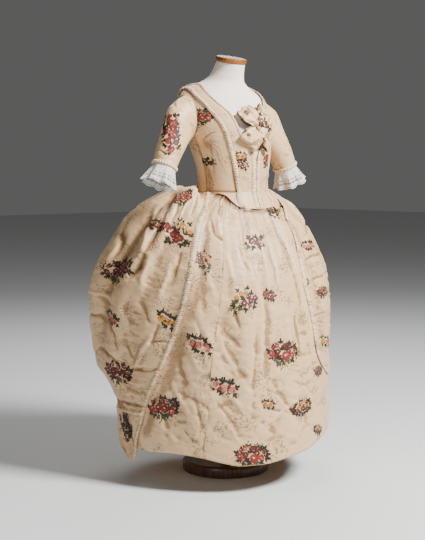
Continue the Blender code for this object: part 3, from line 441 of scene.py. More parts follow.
class Cloth:
    """One laid-out piece of cloth: its grid of points, its outward normals and its metres across and along."""

    def __init__(self, place, columns, rows, width, length):
        across, along = np.meshgrid(np.linspace(0, 1, columns + 1), np.linspace(0, 1, rows + 1))
        self.across, self.along = across, along
        self.width, self.length = width, length
        self.x, self.y = (across - 0.5) * width, along * length
        self.places = place(across, along)
        self.turn = 1.0
        # Painted shade and other tints laid on the cloth's colour; negative is darker.
        self.tint = 0.0
        self.normals = grid_normals(self.places)

    def move(self, height):
        """Moves the cloth along its own normals."""
        self.places = self.places + self.normals * height[..., None]
        self.normals = grid_normals(self.places) * self.turn

    def view(self):
        """Where the grid falls in the photograph, with points that face away put far off."""
        facing = np.einsum("ijk,ijk->ij", self.normals, np.array(EYE) - self.places) > 0
        return np.where(facing[..., None], photo_pixels(self.places), 1e4)

    def spot(self, px, py, seen):
        """The grid place seen at a pixel of the photograph, and how many pixels off it is."""
        away = np.hypot(seen[..., 0] - px, seen[..., 1] - py)
        k, i = np.unravel_index(np.argmin(away), away.shape)
        return k, i, away[k, i]

    def press(self, lines, mask=1.0, raised=1.0):
        """Raises ridges and presses troughs along lines given in pixels of the photograph, and shades the troughs.

        Each line: start x, y, end x, y, half width in mm, height in mm. With raised 0 it only shades.
        """
        seen = self.view()
        total = np.zeros(self.x.shape)
        for x0, y0, x1, y1, half, height in lines:
            spots = [self.spot(mix(x0, x1, t), mix(y0, y1, t), seen) for t in (0.0, 0.5, 1.0)]
            if max(miss for k, i, miss in spots) < NEAR_PIXELS:
                total = total + self.line([(self.x[k, i], self.y[k, i]) for k, i, miss in spots], half, height)
        self.move(total * mask * raised)
        self.tint = self.tint + TROUGH_SHADE * np.minimum(total * mask, 0.0)

    def wrinkles(self, seed, share, level=0.0, low=-10.0, high=10.0):
        """Heights of the silk's wrinkles, held between two limits in mm."""
        height = taffeta(self.x, self.y, seed, settings().wrinkle * share, level)
        return np.clip(height, low * MM, high * MM)

    def crush(self, where, least, patch, seed, large, small):
        """Crushes the silk, more in some patches than in others. large and small: height in mm, size in metres."""
        patches = mix(least, 1.0, smooth(0.5 + 1.2 * ripple(self.x / patch, self.y / patch, seed)))
        height = large[0] * crumple(self.x, self.y, seed + 1, large[1]) \
            + small[0] * crumple(self.x, self.y, seed + 5, small[1])
        self.move(MM * where * patches * height)

    def line(self, ends, half, height):
        """One crease through some places: sharp in its middle, soft at its sides and fading at its ends."""
        x = self.x + 0.005 * ripple(self.x / 0.035, self.y / 0.035, 90)
        y = self.y + 0.005 * ripple(self.x / 0.035, self.y / 0.035, 91)
        near, share = np.full(x.shape, 1e9), np.zeros(x.shape)
        for n, ((ax, ay), (bx, by)) in enumerate(zip(ends, ends[1:])):
            span = max((bx - ax) ** 2 + (by - ay) ** 2, 1e-9)
            t = np.clip(((x - ax) * (bx - ax) + (y - ay) * (by - ay)) / span, 0, 1)
            away = np.hypot(x - ax - t * (bx - ax), y - ay - t * (by - ay))
            share = np.where(away < near, (n + t) / (len(ends) - 1), share)
            near = np.minimum(near, away)
        fade = np.sin(math.pi * mix(0.03, 0.97, share)) ** 0.7
        wide = half * MM
        return height * MM * fade * (0.85 * np.exp(-(near / wide) ** 2) + 0.15 * np.exp(-(2.0 * near / wide) ** 2))

    def sample(self, across, along):
        """Points and normals between the grid's own."""
        rows, columns = self.x.shape
        i = np.clip(across * (columns - 1), 0, columns - 1.001)
        k = np.clip(along * (rows - 1), 0, rows - 1.001)
        i0, k0 = np.floor(i).astype(int), np.floor(k).astype(int)
        fi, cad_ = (i - i0)[..., None], (k - k0)[..., None]
        out = []
        for grid in (self.places, self.normals):
            top = mix(grid[k0, i0], grid[k0, i0 + 1], fi)
            low = mix(grid[k0 + 1, i0], grid[k0 + 1, i0 + 1], fi)
            out.append(mix(top, low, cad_))
        return out[0], unit(out[1])


def turn_in(places, normals, flat, painted_shade, edges):
    """Adds a turned-in hem at the named edges: a fold over the edge and a return behind the cloth."""
    for edge in edges:
        axis = 0 if edge == "bottom" else 1
        step = -1 if edge == "left" else 1
        grid, face = (np.moveaxis(values, axis, 0)[::step] for values in (places, normals))
        bend = grid[-1] - face[-1] * HEM_DEPTH
        behind = grid[-1 - HEM_BACK] - face[-1 - HEM_BACK] * HEM_DEPTH
        grid = np.concatenate([grid, bend[None], behind[None]])
        face = np.concatenate([face, -face[-1:], -face[-1:]])
        places, normals = (np.moveaxis(values[::step], 0, axis) for values in (grid, face))
        pad = [(0, 0)] * 3
        pad[axis] = (2, 0) if edge == "left" else (0, 2)
        flat, painted_shade = np.pad(flat, pad, mode="edge"), np.pad(painted_shade, pad[:2], mode="edge")
    return places, flat, painted_shade


@contextlib.contextmanager
def edited(mesh):
    """Opens a mesh for bmesh operators and writes it back."""
    bm = bmesh.new()
    bm.from_mesh(mesh)
    yield bm
    bm.to_mesh(mesh)
    bm.free()


def grid_mesh(name, places, flat, painted_shade, flip, drop=None):
    """A grid of faces with its points laid in place, its metres as UVs and its painted shade as an attribute."""
    rows, columns = places.shape[:2]
    mesh = bpy.data.meshes.new(name)
    with edited(mesh) as bm:
        bmesh.ops.create_grid(bm, x_segments=columns - 1, y_segments=rows - 1, size=0.5)
        if flip:
            bmesh.ops.reverse_faces(bm, faces=bm.faces[:])
    mesh.vertices.foreach_set("co", places.reshape(-1))
    mesh.attributes.new("thread", "FLOAT_COLOR", "POINT")
    paint = mesh.attributes.new("painted_shade", "FLOAT", "POINT")
    paint.data.foreach_set("value", painted_shade.reshape(-1).astype(np.float32))
    uv = mesh.uv_layers.new(name="UVMap")
    corner = np.empty(len(mesh.loops), dtype=np.int32)
    mesh.loops.foreach_get("vertex_index", corner)
    uv.data.foreach_set("uv", flat.reshape(-1, 2)[corner].reshape(-1).astype(np.float32))
    if drop is not None:
        with edited(mesh) as bm:
            bm.faces.ensure_lookup_table()
            gone = [bm.faces[i] for i in np.flatnonzero(drop.reshape(-1))]
            bmesh.ops.delete(bm, geom=gone, context="FACES")
    mesh.update()
    return mesh


def hollows(places, normals):
    """Negative in troughs and positive on ridges, about -1 to 1."""
    total = 0.0
    for radius, scale in ((3, 0.0020), (9, 0.0065)):
        away = np.einsum("ijk,ijk->ij", places - soften(places, radius), normals)
        total = total + np.clip(away / scale, -1, 1) * 0.5
    return total


def add_object(name, data):
    made = bpy.data.objects.new(name, data)
    bpy.context.scene.collection.objects.link(made)
    return made


def finish_piece(name, mesh, materials, stands_for):
    mesh.shade_smooth()
    for material in materials:
        mesh.materials.append(material)
    piece = add_object(name, mesh)
    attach(piece, "root")
    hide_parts(*stands_for)
    return piece


def add_cloth(name, cloth, materials, sprays=(), edges=(),
              stands_for=None, drop=None):
    """Turns a laid-out cloth and its brocaded sprays into one piece."""
    # Painted shade: from how deep each trough is and how high each ridge, with the cloth's own tints added.
    painted_shade = hollows(cloth.places, cloth.normals) + cloth.tint
    metres = np.stack([cloth.x, cloth.length - cloth.y], axis=-1)
    places, metres, painted_shade = turn_in(cloth.places, cloth.normals, metres, painted_shade, edges)
    mesh = grid_mesh(name + "_cloth", places, metres, painted_shade, cloth.turn > 0, drop)
    if sprays:
        with edited(mesh) as bm:
            lay_sprays(bm, cloth, sprays)
    piece = finish_piece(name + "_cloth", mesh, materials, stands_for or [name])


# Brocaded sprays

THREADS = {
    "red": (0.110, 0.0025, 0.003), "rose": (0.20, 0.013, 0.012), "pink": (0.44, 0.130, 0.090),
    "plum": (0.025, 0.002, 0.005), "mauve": (0.085, 0.010, 0.020), "gold": (0.50, 0.185, 0.012),
    "cream": (0.84, 0.62, 0.36), "orange": (0.34, 0.055, 0.005), "leaf": (0.003, 0.0045, 0.0022),
    "moss": (0.030, 0.042, 0.014), "bark": (0.022, 0.007, 0.003),
}

# Colours of each posy: petals, inner petals, heart, petals and inner petals of its second flowers, leaves, stems.
POSY_COLOURS = {
    "red": ("rose", "pink", "cream", "red", "rose", "leaf", "moss"),
    "rose": ("rose", "pink", "red", "red", "rose", "leaf", "moss"),
    "two": ("red", "rose", "pink", "gold", "cream", "leaf", "moss"),
    "plum": ("mauve", "pink", "cream", "red", "pink", "leaf", "moss"),
    "pansy": ("mauve", "rose", "cream", "gold", "orange", "leaf", "moss"),
    "gold": ("gold", "bark", "red", "gold", "orange", "leaf", "bark"),
    "brown": ("red", "bark", "orange", "orange", "bark", "leaf", "bark"),
    "pink": ("pink", "red", "rose", "rose", "red", "leaf", "moss"),
    "orange": ("plum", "mauve", "cream", "gold", "orange", "leaf", "leaf"),
    "dark": ("leaf", "plum", "leaf", "leaf", "mauve", "leaf", "leaf"),
}


class Pen:
    """Draws the flat shapes of a spray into a bmesh, each in the colour of its threads."""

    def __init__(self, bm, random):
        self.bm, self.random = bm, random
        self.ink = bm.verts.layers.float_color.new("thread")

    def petal(self, x, y, away, turn, long, wide, colour, steps=6):
        """A flat oval, set off from a point in the direction of its own length."""
        place = Matrix.Translation((x + away * math.cos(turn), y + away * math.sin(turn), 0.0)) \
            @ Matrix.Rotation(turn, 4, "Z") @ Matrix.Diagonal((long, wide, 1.0, 1.0))
        made = bmesh.ops.create_circle(self.bm, cap_ends=True, segments=steps, radius=0.5, matrix=place)
        for vert in made["verts"]:
            vert[self.ink] = (*THREADS[colour], 1.0)

    def flower(self, x, y, size, outer, middle, heart):
        """A full flower: five petals, smaller ones inside turned to one side, a heart and dark marks."""
        turn = self.random.uniform(0, math.tau)
        for i in range(5):
            reach = size * self.random.uniform(0.22, 0.30)
            self.petal(x, y, reach, turn + math.tau * i / 5, size * 0.50, size * 0.44, outer, 8)
        for i in range(3):
            self.petal(x, y, size * 0.20, turn + 0.9 + 0.9 * i, size * 0.17, size * 0.36, middle)
        self.petal(x - 0.06 * size, y + 0.05 * size, 0.0, turn, size * 0.24, size * 0.18, heart)
        for beyond in (2.2, 3.3, 4.4):
            self.petal(x, y, 0.40 * size, turn + beyond, size * 0.15, size * 0.36, "plum", 5)

    def stem(self, x0, y0, x1, y1, bend, wide, colour):
        """A curved stem drawn as short overlapping ovals."""
        span, run = math.hypot(x1 - x0, y1 - y0), math.atan2(y1 - y0, x1 - x0)
        steps = max(3, int(span / 0.07))
        for i in range(steps):
            t = (i + 0.5) / steps
            lift = bend * math.sin(math.pi * t)
            slope = run + bend * math.pi * math.cos(math.pi * t)
            self.petal(x0 + (x1 - x0) * t - math.sin(run) * lift, y0 + (y1 - y0) * t + math.cos(run) * lift, 0.0, slope,
                       1.25 * span / steps, wide, colour, 5)

    def leaf(self, x, y, turn, size, colour):
        """A cut leaf: three ovals spread from one point."""
        for spread, long in ((0.0, size), (0.85, 0.72 * size), (-0.85, 0.72 * size)):
            self.petal(x, y, 0.5 * long, turn + spread, long, long * 0.46, colour)

    def posy(self, drawing, kind):
        """A whole posy: stems, then leaves, then flowers over them. A name ending in _left is drawn mirrored."""
        side = -1.0 if drawing.endswith("_left") else 1.0
        flowers, leaves, stems = DRAWINGS[drawing.removesuffix("_left")]
        petals, inner, heart, second, second_inner, dark, twig = POSY_COLOURS[kind]
        spread = self.random.uniform
        for x0, y0, x1, y1, bend, wide in stems:
            self.stem(side * x0, y0, side * x1, y1, side * bend, wide, twig)
        for x, y, turn, size, light in leaves:
            turn = math.radians(turn + spread(-15, 15))
            self.leaf(side * (x + spread(-0.03, 0.03)), y + spread(-0.03, 0.03), turn if side > 0 else math.pi - turn,
                      size * spread(0.95, 1.3), twig if light else dark)
        for x, y, size, other in flowers * 2:
            turn = spread(0, math.tau)
            self.leaf(side * (x + 0.5 * size * math.cos(turn)), y + 0.5 * size * math.sin(turn), turn, 0.5 * size, dark)
        for x, y, size, other in flowers:
            self.flower(side * (x + spread(-0.03, 0.03)), y + spread(-0.03, 0.03), size * spread(0.86, 1.15),
                        *((second, second_inner, heart) if other else (petals, inner, heart)))


# Posies, one unit wide. Flowers: x, y, size, whether of the second colour. Leaves: x, y, direction in degrees, size,
# whether in the stem's colour. Stems: start x, y, end x, y, bend, width.
DRAWINGS = {
    "bouquet": (
        ((-0.33, 0.13, 0.12, 1), (-0.17, 0.19, 0.12, 0), (0.02, 0.17, 0.13, 1), (0.18, 0.18, 0.11, 1),
         (0.33, 0.08, 0.14, 1), (-0.36, -0.02, 0.19, 0), (-0.15, 0.03, 0.18, 1), (0.17, 0.06, 0.14, 1),
         (-0.24, -0.09, 0.15, 0), (0.05, -0.04, 0.27, 0), (0.28, -0.07, 0.2, 0)),
        ((-0.4, 0.05, 160, 0.13, 0), (-0.26, 0.09, 120, 0.13, 0), (-0.06, 0.21, 95, 0.14, 0),
         (0.1, 0.21, 70, 0.13, 0), (-0.07, 0.08, 85, 0.14, 0), (0.25, 0.13, 60, 0.15, 0), (0.34, 0.14, 40, 0.14, 0),
         (0.38, 0.02, 12, 0.16, 0), (0.36, -0.06, -18, 0.15, 0), (0.4, 0.09, 28, 0.13, 0),
         (0.22, -0.14, -50, 0.15, 0), (0.1, -0.13, -75, 0.14, 1), (-0.08, -0.12, -100, 0.15, 0),
         (-0.2, -0.15, -120, 0.15, 1), (-0.33, -0.1, 205, 0.14, 0), (0.1, 0.04, 60, 0.12, 0),
         (-0.1, -0.06, 200, 0.12, 0), (0.17, -0.02, -20, 0.11, 0), (-0.02, -0.23, -60, 0.12, 1),
         (-0.12, -0.25, 220, 0.12, 1)),
        ((-0.02, -0.15, -0.1, -0.42, 0.05, 0.035), (-0.05, -0.25, 0.12, -0.36, 0.04, 0.03)),
    ),
    "trailing": (
        ((-0.02, 0.3, 0.15, 1), (0.14, 0.27, 0.16, 1), (0.27, 0.13, 0.15, 1), (-0.36, 0.14, 0.2, 0),
         (-0.2, 0.04, 0.19, 0), (0.0, -0.05, 0.21, 0), (-0.16, -0.1, 0.14, 0), (-0.1, 0.18, 0.13, 0)),
        ((-0.08, 0.36, 110, 0.15, 0), (0.22, 0.32, 45, 0.15, 0), (-0.14, 0.1, 60, 0.16, 0),
         (-0.24, 0.19, 100, 0.14, 0), (-0.32, -0.02, 215, 0.15, 0), (-0.28, -0.12, 215, 0.16, 0),
         (-0.04, -0.17, -95, 0.14, 0), (0.1, -0.1, -25, 0.15, 0), (0.22, -0.02, 35, 0.14, 1),
         (0.34, -0.08, 60, 0.16, 1), (0.3, -0.14, -10, 0.16, 0), (0.2, -0.22, 200, 0.15, 1),
         (0.42, -0.22, -35, 0.14, 0), (0.34, -0.32, 220, 0.13, 1), (0.06, 0.08, 40, 0.14, 0)),
        ((0.05, -0.05, 0.36, -0.48, 0.1, 0.04), (0.18, -0.18, 0.44, -0.16, 0.03, 0.03)),
    ),
    "band": (
        ((-0.33, 0.03, 0.25, 0), (0.0, -0.02, 0.27, 0), (0.31, -0.07, 0.25, 0), (-0.16, -0.1, 0.13, 1),
         (0.17, 0.08, 0.13, 1)),
        ((-0.44, 0.14, 150, 0.17, 0), (-0.34, 0.18, 105, 0.18, 0), (-0.18, 0.16, 80, 0.2, 0),
         (-0.03, 0.15, 100, 0.19, 0), (0.12, 0.14, 60, 0.2, 0), (0.26, 0.1, 85, 0.2, 0), (0.4, 0.03, 40, 0.18, 0),
         (0.42, -0.14, -35, 0.16, 0), (0.14, -0.16, -80, 0.16, 0), (-0.08, -0.16, -110, 0.18, 0),
         (-0.18, -0.12, 230, 0.15, 0)),
        ((-0.4, 0.1, 0.42, -0.02, 0.02, 0.035),),
    ),
    "sprig": (
        ((-0.2, -0.02, 0.38, 0), (0.19, -0.08, 0.36, 1)),
        ((-0.38, 0.1, 150, 0.2, 0), (-0.24, 0.18, 105, 0.24, 0), (0.02, 0.16, 75, 0.24, 0),
         (0.26, 0.12, 60, 0.22, 1), (0.38, 0.0, 20, 0.2, 0), (0.3, -0.22, -50, 0.22, 0),
         (-0.04, -0.18, -95, 0.22, 0), (-0.28, -0.2, 225, 0.22, 0)),
        ((0.0, 0.0, 0.12, -0.44, 0.06, 0.05),),
    ),
    "climber": (
        ((0.04, 0.66, 0.36, 0), (0.18, 0.36, 0.4, 0), (-0.22, 0.2, 0.36, 1), (0.1, -0.04, 0.42, 0),
         (-0.18, -0.3, 0.36, 0), (0.22, -0.42, 0.34, 1), (-0.06, -0.66, 0.36, 0)),
        tuple((0.28 * (1 if i % 2 else -1), -0.82 + 0.135 * i, 35 if i % 2 else 145, 0.26, 0) for i in range(13)),
        ((0.05, -0.85, -0.05, 0.85, 0.12, 0.05),),
    ),
}


PATTERNS = {}
SPRAY_COLUMNS, SPRAY_ROWS = 0.200, 0.160  # metres from one spray to the next in the repeat
INSIDE = (0.002, 0.998)  # shares of a cloth within which its sprays stay
SPRAY_GAP = 0.105  # least distance of the repeat from a spray that is already there
EYE_STRETCH = (0.80, 1.55)  # limits within which a spray in view is stretched to face the camera
SPRAY_ACROSS, SPRAY_UP = 1.04, 1.20  # how much broader and taller those are than their charted width


def drawing_mesh(drawing, kind, variant):
    """The flat drawing of a spray, made once and laid many times."""
    key = (drawing, kind, variant)
    if key not in PATTERNS:
        PATTERNS[key] = bpy.data.meshes.new(f"{drawing}_{kind}_{variant}")
        with edited(PATTERNS[key]) as bm:
            pen = Pen(bm, np.random.default_rng(variant))
            bm.verts.layers.float.new("painted_shade")
            bm.loops.layers.uv.new("UVMap")
            pen.posy(drawing, kind)
            for face in bm.faces:
                face.material_index = 1
    return PATTERNS[key]


def turned_to_eye(ends, per_across, per_along, step, x, y):
    """Turns and stretches a drawing on its cloth, within limits, so that it faces the camera of the photograph."""
    pixels = photo_pixels(np.array(ends))
    seen = np.stack([(pixels[0] - pixels[1]) / per_across, (pixels[2] - pixels[3]) / per_along], axis=1) / (2 * step)
    wanted = np.diag([SPRAY_ACROSS, -SPRAY_UP]) / SEEN_PIXEL
    left, stretch, right = np.linalg.svd(np.linalg.inv(seen + 1e-6 * np.eye(2)) @ wanted)
    x, y = left @ np.diag(np.clip(stretch, *EYE_STRETCH)) @ right @ np.stack([x, y])
    return x, -y


def lay_sprays(bm, cloth, sprays):
    """Lays flat drawings on a cloth: drawing, colours, across, along, width in m, turn in degrees, seed, in view."""
    lift = settings().spray_lift
    step = 0.01  # share of the cloth over which its own scale is measured
    for drawing, kind, across, along, width, turn, seed, *in_view in sprays:
        pattern = drawing_mesh(drawing, kind, seed % 4)
        start = len(bm.verts)
        bm.from_mesh(pattern)
        bm.verts.ensure_lookup_table()
        flat = np.empty(len(pattern.vertices) * 3)
        pattern.vertices.foreach_get("co", flat)
        x, y = flat[0::3] * width, flat[1::3] * width
        c, s = math.cos(math.radians(turn)), math.sin(math.radians(turn))
        x, y = x * c - y * s, x * s + y * c
        ends = [cloth.sample(np.array([across + a]), np.array([along + b]))[0][0]
                for a, b in ((step, 0), (-step, 0), (0, step), (0, -step))]
        per_across, per_along = (max(np.linalg.norm(far - near) / (2 * step), 0.05)
                                 for far, near in (ends[:2], ends[2:]))
        if in_view:
            x, y = turned_to_eye(ends, per_across, per_along, step, x, y)
            x = x * cloth.turn
        places, normals = cloth.sample(np.clip(across + x / per_across * cloth.turn, *INSIDE),
                                       np.clip(along - y / per_along, *INSIDE))
        order = np.arange(len(x)) / len(x)
        lifted = places + normals * (lift * (0.7 + 0.6 * order))[:, None]
        for vert, place in zip(bm.verts[start:], lifted.tolist()):
            vert.co = place


def seen_sprays(cloth, rows, seed):
    """Places sprays by the pixel where the photograph shows their centres."""
    made = []
    seen = cloth.view()
    for n, (drawing, kind, px, py, width, turn) in enumerate(rows):
        k, i, miss = cloth.spot(px, py, seen)
        if miss < SPRAY_NEAR_PIXELS:
            across, along = float(cloth.across[k, i]), float(cloth.along[k, i])
            made.append((drawing, kind, across, along, width, turn, seed + n, True))
    return made


def repeat_sprays(cloth, seed, taken=(), left=0.0, right=1.0, top=0.05, bottom=0.97):
    """A staggered repeat of sprays where the photograph doesn't show the cloth."""
    drawings = ("bouquet", "trailing", "bouquet_left", "trailing_left")
    kinds = ("red", "two", "plum", "pansy", "rose", "orange")
    bands = ("brown", "pink", "gold", "plum")
    random = np.random.default_rng(seed)
    made = []
    for row in range(int(cloth.length / SPRAY_ROWS) + 1):
        for column in range(-1, int(cloth.width / SPRAY_COLUMNS) + 2):
            x = (column + 0.5 * (row % 2)) * SPRAY_COLUMNS + random.uniform(-0.012, 0.012)
            y = (row + 0.5) * SPRAY_ROWS + random.uniform(-0.010, 0.010)
            across, along = x / cloth.width, y / cloth.length
            if not (left < across < right and top < along < bottom):
                continue
            near = [math.hypot((across - t[2]) * cloth.width, (along - t[3]) * cloth.length) for t in taken]
            if near and min(near) < SPRAY_GAP:
                continue
            pick = (row * 2 + column) % len(kinds)
            if (row + column) % 3 == 0:
                drawing, kind, width, turn = "band", bands[pick % len(bands)], 0.066, random.uniform(-20, 6)
            else:
                drawing, kind = drawings[(row + 3 * column) % 4], kinds[pick]
                width, turn = random.uniform(0.095, 0.112), random.uniform(-10, 10)
            made.append((drawing, kind, across, along, width, turn, seed * 100 + row * 10 + column + 5))
    return made


# Finishes

COAT_ROUGHNESS = 0.12
SHEEN_ROUGHNESS = 0.4
DEEP_SHADOW = (0.050, 0.022, 0.008)
WORN_AND_SHADED_SILK = (0.50, 0.33, 0.18)
SPECKLE = (0.24, 0.135, 0.055)


def scaled(colour, *factors):
    """A colour with its channels scaled, all of them alike where only one factor is given."""
    return [min(1.0, c * f) for c, f in zip(colour, factors * 3)]


class Finish:
    """A material as it is built up: noise, tones and bumps that end in one Principled shader."""

    def __init__(self, name, tone=None, source="UVMap", **inputs):
        self.material = bpy.data.materials.new(name)
        self.material.use_nodes = True
        self.tree = self.material.node_tree
        self.shader = self.tree.nodes["Principled BSDF"]
        for key, value in {"Sheen_Roughness": SHEEN_ROUGHNESS, "Coat_Roughness": COAT_ROUGHNESS, **inputs}.items():
            self.shader.inputs[key.replace("_", " ")].default_value = value
        self.tone = tone
        self.place = self.node(source).outputs["UV" if source == "UVMap" else "Object"]

    def node(self, kind, **inputs):
        made = self.tree.nodes.new("ShaderNode" + kind)
        for key, value in inputs.items():
            slot = key.replace("_", " ")
            if slot in made.inputs:
                made.inputs[slot].default_value = value
            else:
                setattr(made, key, value)
        return made

    def link(self, value, socket):
        self.tree.links.new(value, socket)

    def attribute(self, name, output):
        return self.node("Attribute", attribute_name=name).outputs[output]

    def noise(self, scale, detail=3.0, stretch=(1.0, 1.0, 1.0), kind="FBM"):
        moved = self.node("Mapping", Scale=stretch)
        self.link(self.place, moved.inputs["Vector"])
        noise = self.node("TexNoise", noise_type=kind, Scale=scale, Detail=detail)
        self.link(moved.outputs["Vector"], noise.inputs["Vector"])
        return noise.outputs["Fac"]

    def bands(self, direction, **inputs):
        wave = self.node("TexWave", wave_type="BANDS", bands_direction=direction, **inputs)
        self.link(self.place, wave.inputs["Vector"])
        return wave.outputs["Fac"]

    def ranged(self, value, low, high, to_low=0.0, to_high=1.0):
        made = self.node("MapRange", interpolation_type="SMOOTHSTEP",
                         From_Min=low, From_Max=high, To_Min=to_low, To_Max=to_high)
        self.link(value, made.inputs["Value"])
        return made.outputs["Result"]

    def maths(self, operation, *values):
        made = self.node("Math", operation=operation)
        for value, socket in zip(values, made.inputs):
            self.link(value, socket)
        return made.outputs[0]

    def blend(self, share, colour):
        """Mixes a colour into the tone so far, by a share from 0 to 1."""
        made = self.node("Mix", data_type="RGBA")
        self.link(share, made.inputs["Factor"])
        if hasattr(self.tone, "is_linked"):
            self.link(self.tone, made.inputs[6])
        else:
            made.inputs[6].default_value = (*self.tone, 1.0)
        made.inputs[7].default_value = (*colour, 1.0)
        self.tone = made.outputs[2]

    def stain_and_shade(self, value, low, high, most, colour):
        """Mixes a colour in as a value goes from low to high, at most by the share given."""
        self.blend(self.ranged(value, low, high, 0.0, most), colour)

    def vary_roughness(self, value, low, high, smoothest, roughest):
        self.link(self.ranged(value, low, high, smoothest, roughest), self.shader.inputs["Roughness"])

    def done(self, *layers):
        """Sets the tone and lays the bumps over each other: each a height, a distance in metres and a strength."""
        self.link(self.tone, self.shader.inputs["Base Color"])
        below = None
        for height, distance, strength in layers:
            bump = self.node("Bump", Strength=strength, Distance=distance)
            self.link(height, bump.inputs["Height"])
            if below:
                self.link(below, bump.inputs["Normal"])
            below = bump.outputs["Normal"]
        self.link(below, self.shader.inputs["Normal"])
        return self.material


def silk_finish(name, colour, fold_shade_colour, roughness=0.42):
    """Crisp ribbed silk: fine ribs across, slubs, painted shade in the folds, worn and speckled patches that gather in
    the folds as painted shade, and painted highlight on the ridges.
    """
    make = Finish(name, colour, Roughness=roughness, Sheen_Weight=0.12, Sheen_Roughness=0.35,
                  Sheen_Tint=(1.0, 0.93, 0.84, 1.0))
    painted_shade = make.attribute("painted_shade", "Fac")
    slubs = make.noise(60.0, 4.0, (0.5, 14.0, 1.0))
    cloud = make.noise(5.0)
    wear_and_shade = make.noise(13.0, 5.0)
    speck = make.noise(115.0, 4.0, (1.0, 1.4, 1.0))
    crinkle = make.noise(26.0, 5.0, (0.55, 1.5, 1.0), "RIDGED_MULTIFRACTAL")
    ribs = make.bands("Y", Scale=250.0, Distortion=1.2)
    make.stain_and_shade(cloud, 0.35, 0.70, 0.55, scaled(colour, 0.93, 0.87, 0.78))
    make.stain_and_shade(slubs, 0.40, 0.75, 0.25, scaled(colour, 0.84))
    # Painted shade in the troughs, painted shadow where the shade runs deepest, and painted highlight on the ridges.
    make.stain_and_shade(painted_shade, 0.08, -0.62, 0.88, fold_shade_colour)
    make.stain_and_shade(painted_shade, -0.85, -1.70, 0.85, DEEP_SHADOW)
    make.stain_and_shade(painted_shade, 0.10, 0.80, 0.50, scaled(colour, 1.10))
    # Worn patches from noise, gathering more in the troughs as painted shade; the brown speckles follow the patches.
    patch = make.maths("ADD", make.ranged(wear_and_shade, 0.46, 0.68), make.ranged(painted_shade, 0.0, -0.8, 0.0, 0.5))
    speckles = make.maths("MULTIPLY", make.ranged(speck, 0.48, 0.60), make.ranged(patch, 0.05, 0.75, 0.06, 0.92))
    make.stain_and_shade(patch, 0.2, 1.2, 0.35, WORN_AND_SHADED_SILK)
    make.blend(speckles, SPECKLE)
    make.vary_roughness(slubs, 0.3, 0.8, roughness - 0.05, roughness + 0.14)
    return make.done((crinkle, 0.0034, 0.60), (slubs, 0.0006, 0.35), (ribs, 0.00018, 0.30), (speck, 0.0014, 0.40))


def brocade_finish():
    """Floss silk of the sprays, coloured by the threads' own attribute."""
    make = Finish("brocade_floss", None, "TexCoord", Roughness=0.55, Sheen_Weight=0.04, Specular_IOR_Level=0.25)
    make.tone = make.attribute("thread", "Color")
    grain = make.noise(900.0, 3.0, (1.0, 1.0, 0.18))
    make.stain_and_shade(grain, 0.30, 0.75, 0.07, (0.62, 0.46, 0.30))
    make.stain_and_shade(make.noise(60.0), 0.50, 0.75, 0.06, (0.60, 0.44, 0.28))
    return make.done((grain, 0.0004, 0.5))


def lace_finish(colour):
    make = Finish("lace_cotton", scaled(colour, 0.78), Roughness=0.78, Sheen_Weight=0.25, Specular_IOR_Level=0.3)
    threads = make.noise(420.0)
    make.stain_and_shade(threads, 0.35, 0.70, 0.6, colour)
    make.stain_and_shade(make.noise(30.0), 0.45, 0.75, 0.35, scaled(colour, 0.90, 0.86, 0.78))
    return make.done((threads, 0.0006, 0.6))


def jersey_finish(colour):
    """Close-knit cotton over the form: fine knit, slight soiling and a soft nap."""
    make = Finish("form_jersey", colour, "TexCoord", Roughness=0.86, Sheen_Weight=0.20, Specular_IOR_Level=0.3)
    knit = make.noise(700.0, 2.0, (1.0, 1.0, 0.45))
    make.stain_and_shade(make.noise(9.0, 5.0), 0.40, 0.70, 0.6, scaled(colour, 0.92, 0.88, 0.83))
    make.stain_and_shade(make.noise(55.0, 6.0), 0.62, 0.78, 0.20, (0.45, 0.38, 0.30))
    make.stain_and_shade(knit, 0.35, 0.70, 0.18, scaled(colour, 0.75))
    return make.done((knit, 0.0005, 0.45))


def wood_finish(name, colour, dark, roughness, coat, rings):
    """Turned and varnished wood: grain rings round the axis, fine pores and small scuffs."""
    make = Finish(name, colour, "TexCoord", Roughness=roughness, Coat_Weight=coat)
    pores = make.noise(160.0, 4.0, (0.15, 1.0, 1.0))
    scuff = make.noise(34.0, 6.0)
    make.stain_and_shade(make.bands("X", Scale=rings, Distortion=5.0, Detail=4.0), 0.15, 0.90, 0.75, dark)
    make.stain_and_shade(pores, 0.55, 0.75, 0.45, scaled(dark, 0.45))
    make.stain_and_shade(scuff, 0.64, 0.76, 0.22, [min(1.0, c * 1.8 + 0.03) for c in colour])
    make.vary_roughness(scuff, 0.45, 0.75, roughness, roughness + 0.20)
    return make.done((pores, 0.0004, 0.25), (scuff, 0.0006, 0.12))


# The pieces

SIDES = ((-1.0, "right"), (1.0, "left"))


def tube_of(places):
    """The middle of every ring of a tube."""
    return places.mean(axis=1, keepdims=True)


def body_axis(places):
    return points(0.0, -0.02, places[..., 2])


def lay(place, columns, rows, width, length, heart=body_axis):
    """Lays a cloth, with its width and length in metres, so that its outside faces away from its heart."""
    cloth = Cloth(place, columns, rows, width, length)
    if np.einsum("ijk,ijk->ij", cloth.normals, cloth.places - heart(cloth.places)).mean() < 0:
        cloth.turn = -1.0
        cloth.normals = -cloth.normals
    return cloth


def laid(columns, rows, width, length, heart=body_axis):
    """Makes a function that lays one side's cloth, out of one that gives its points from shares across and along."""
    def laying(place):
        def on_side(side=0.0):
            return lay(lambda across, along: place(side, across, along), columns, rows, width, length, heart)

        return on_side
    return laying


def settings():
    return bpy.context.scene.silk_dress


def silk():
    found = bpy.data.materials.get("brocaded_silk")
    return found or silk_finish("brocaded_silk", settings().silk_colour, settings().fold_shade_colour)


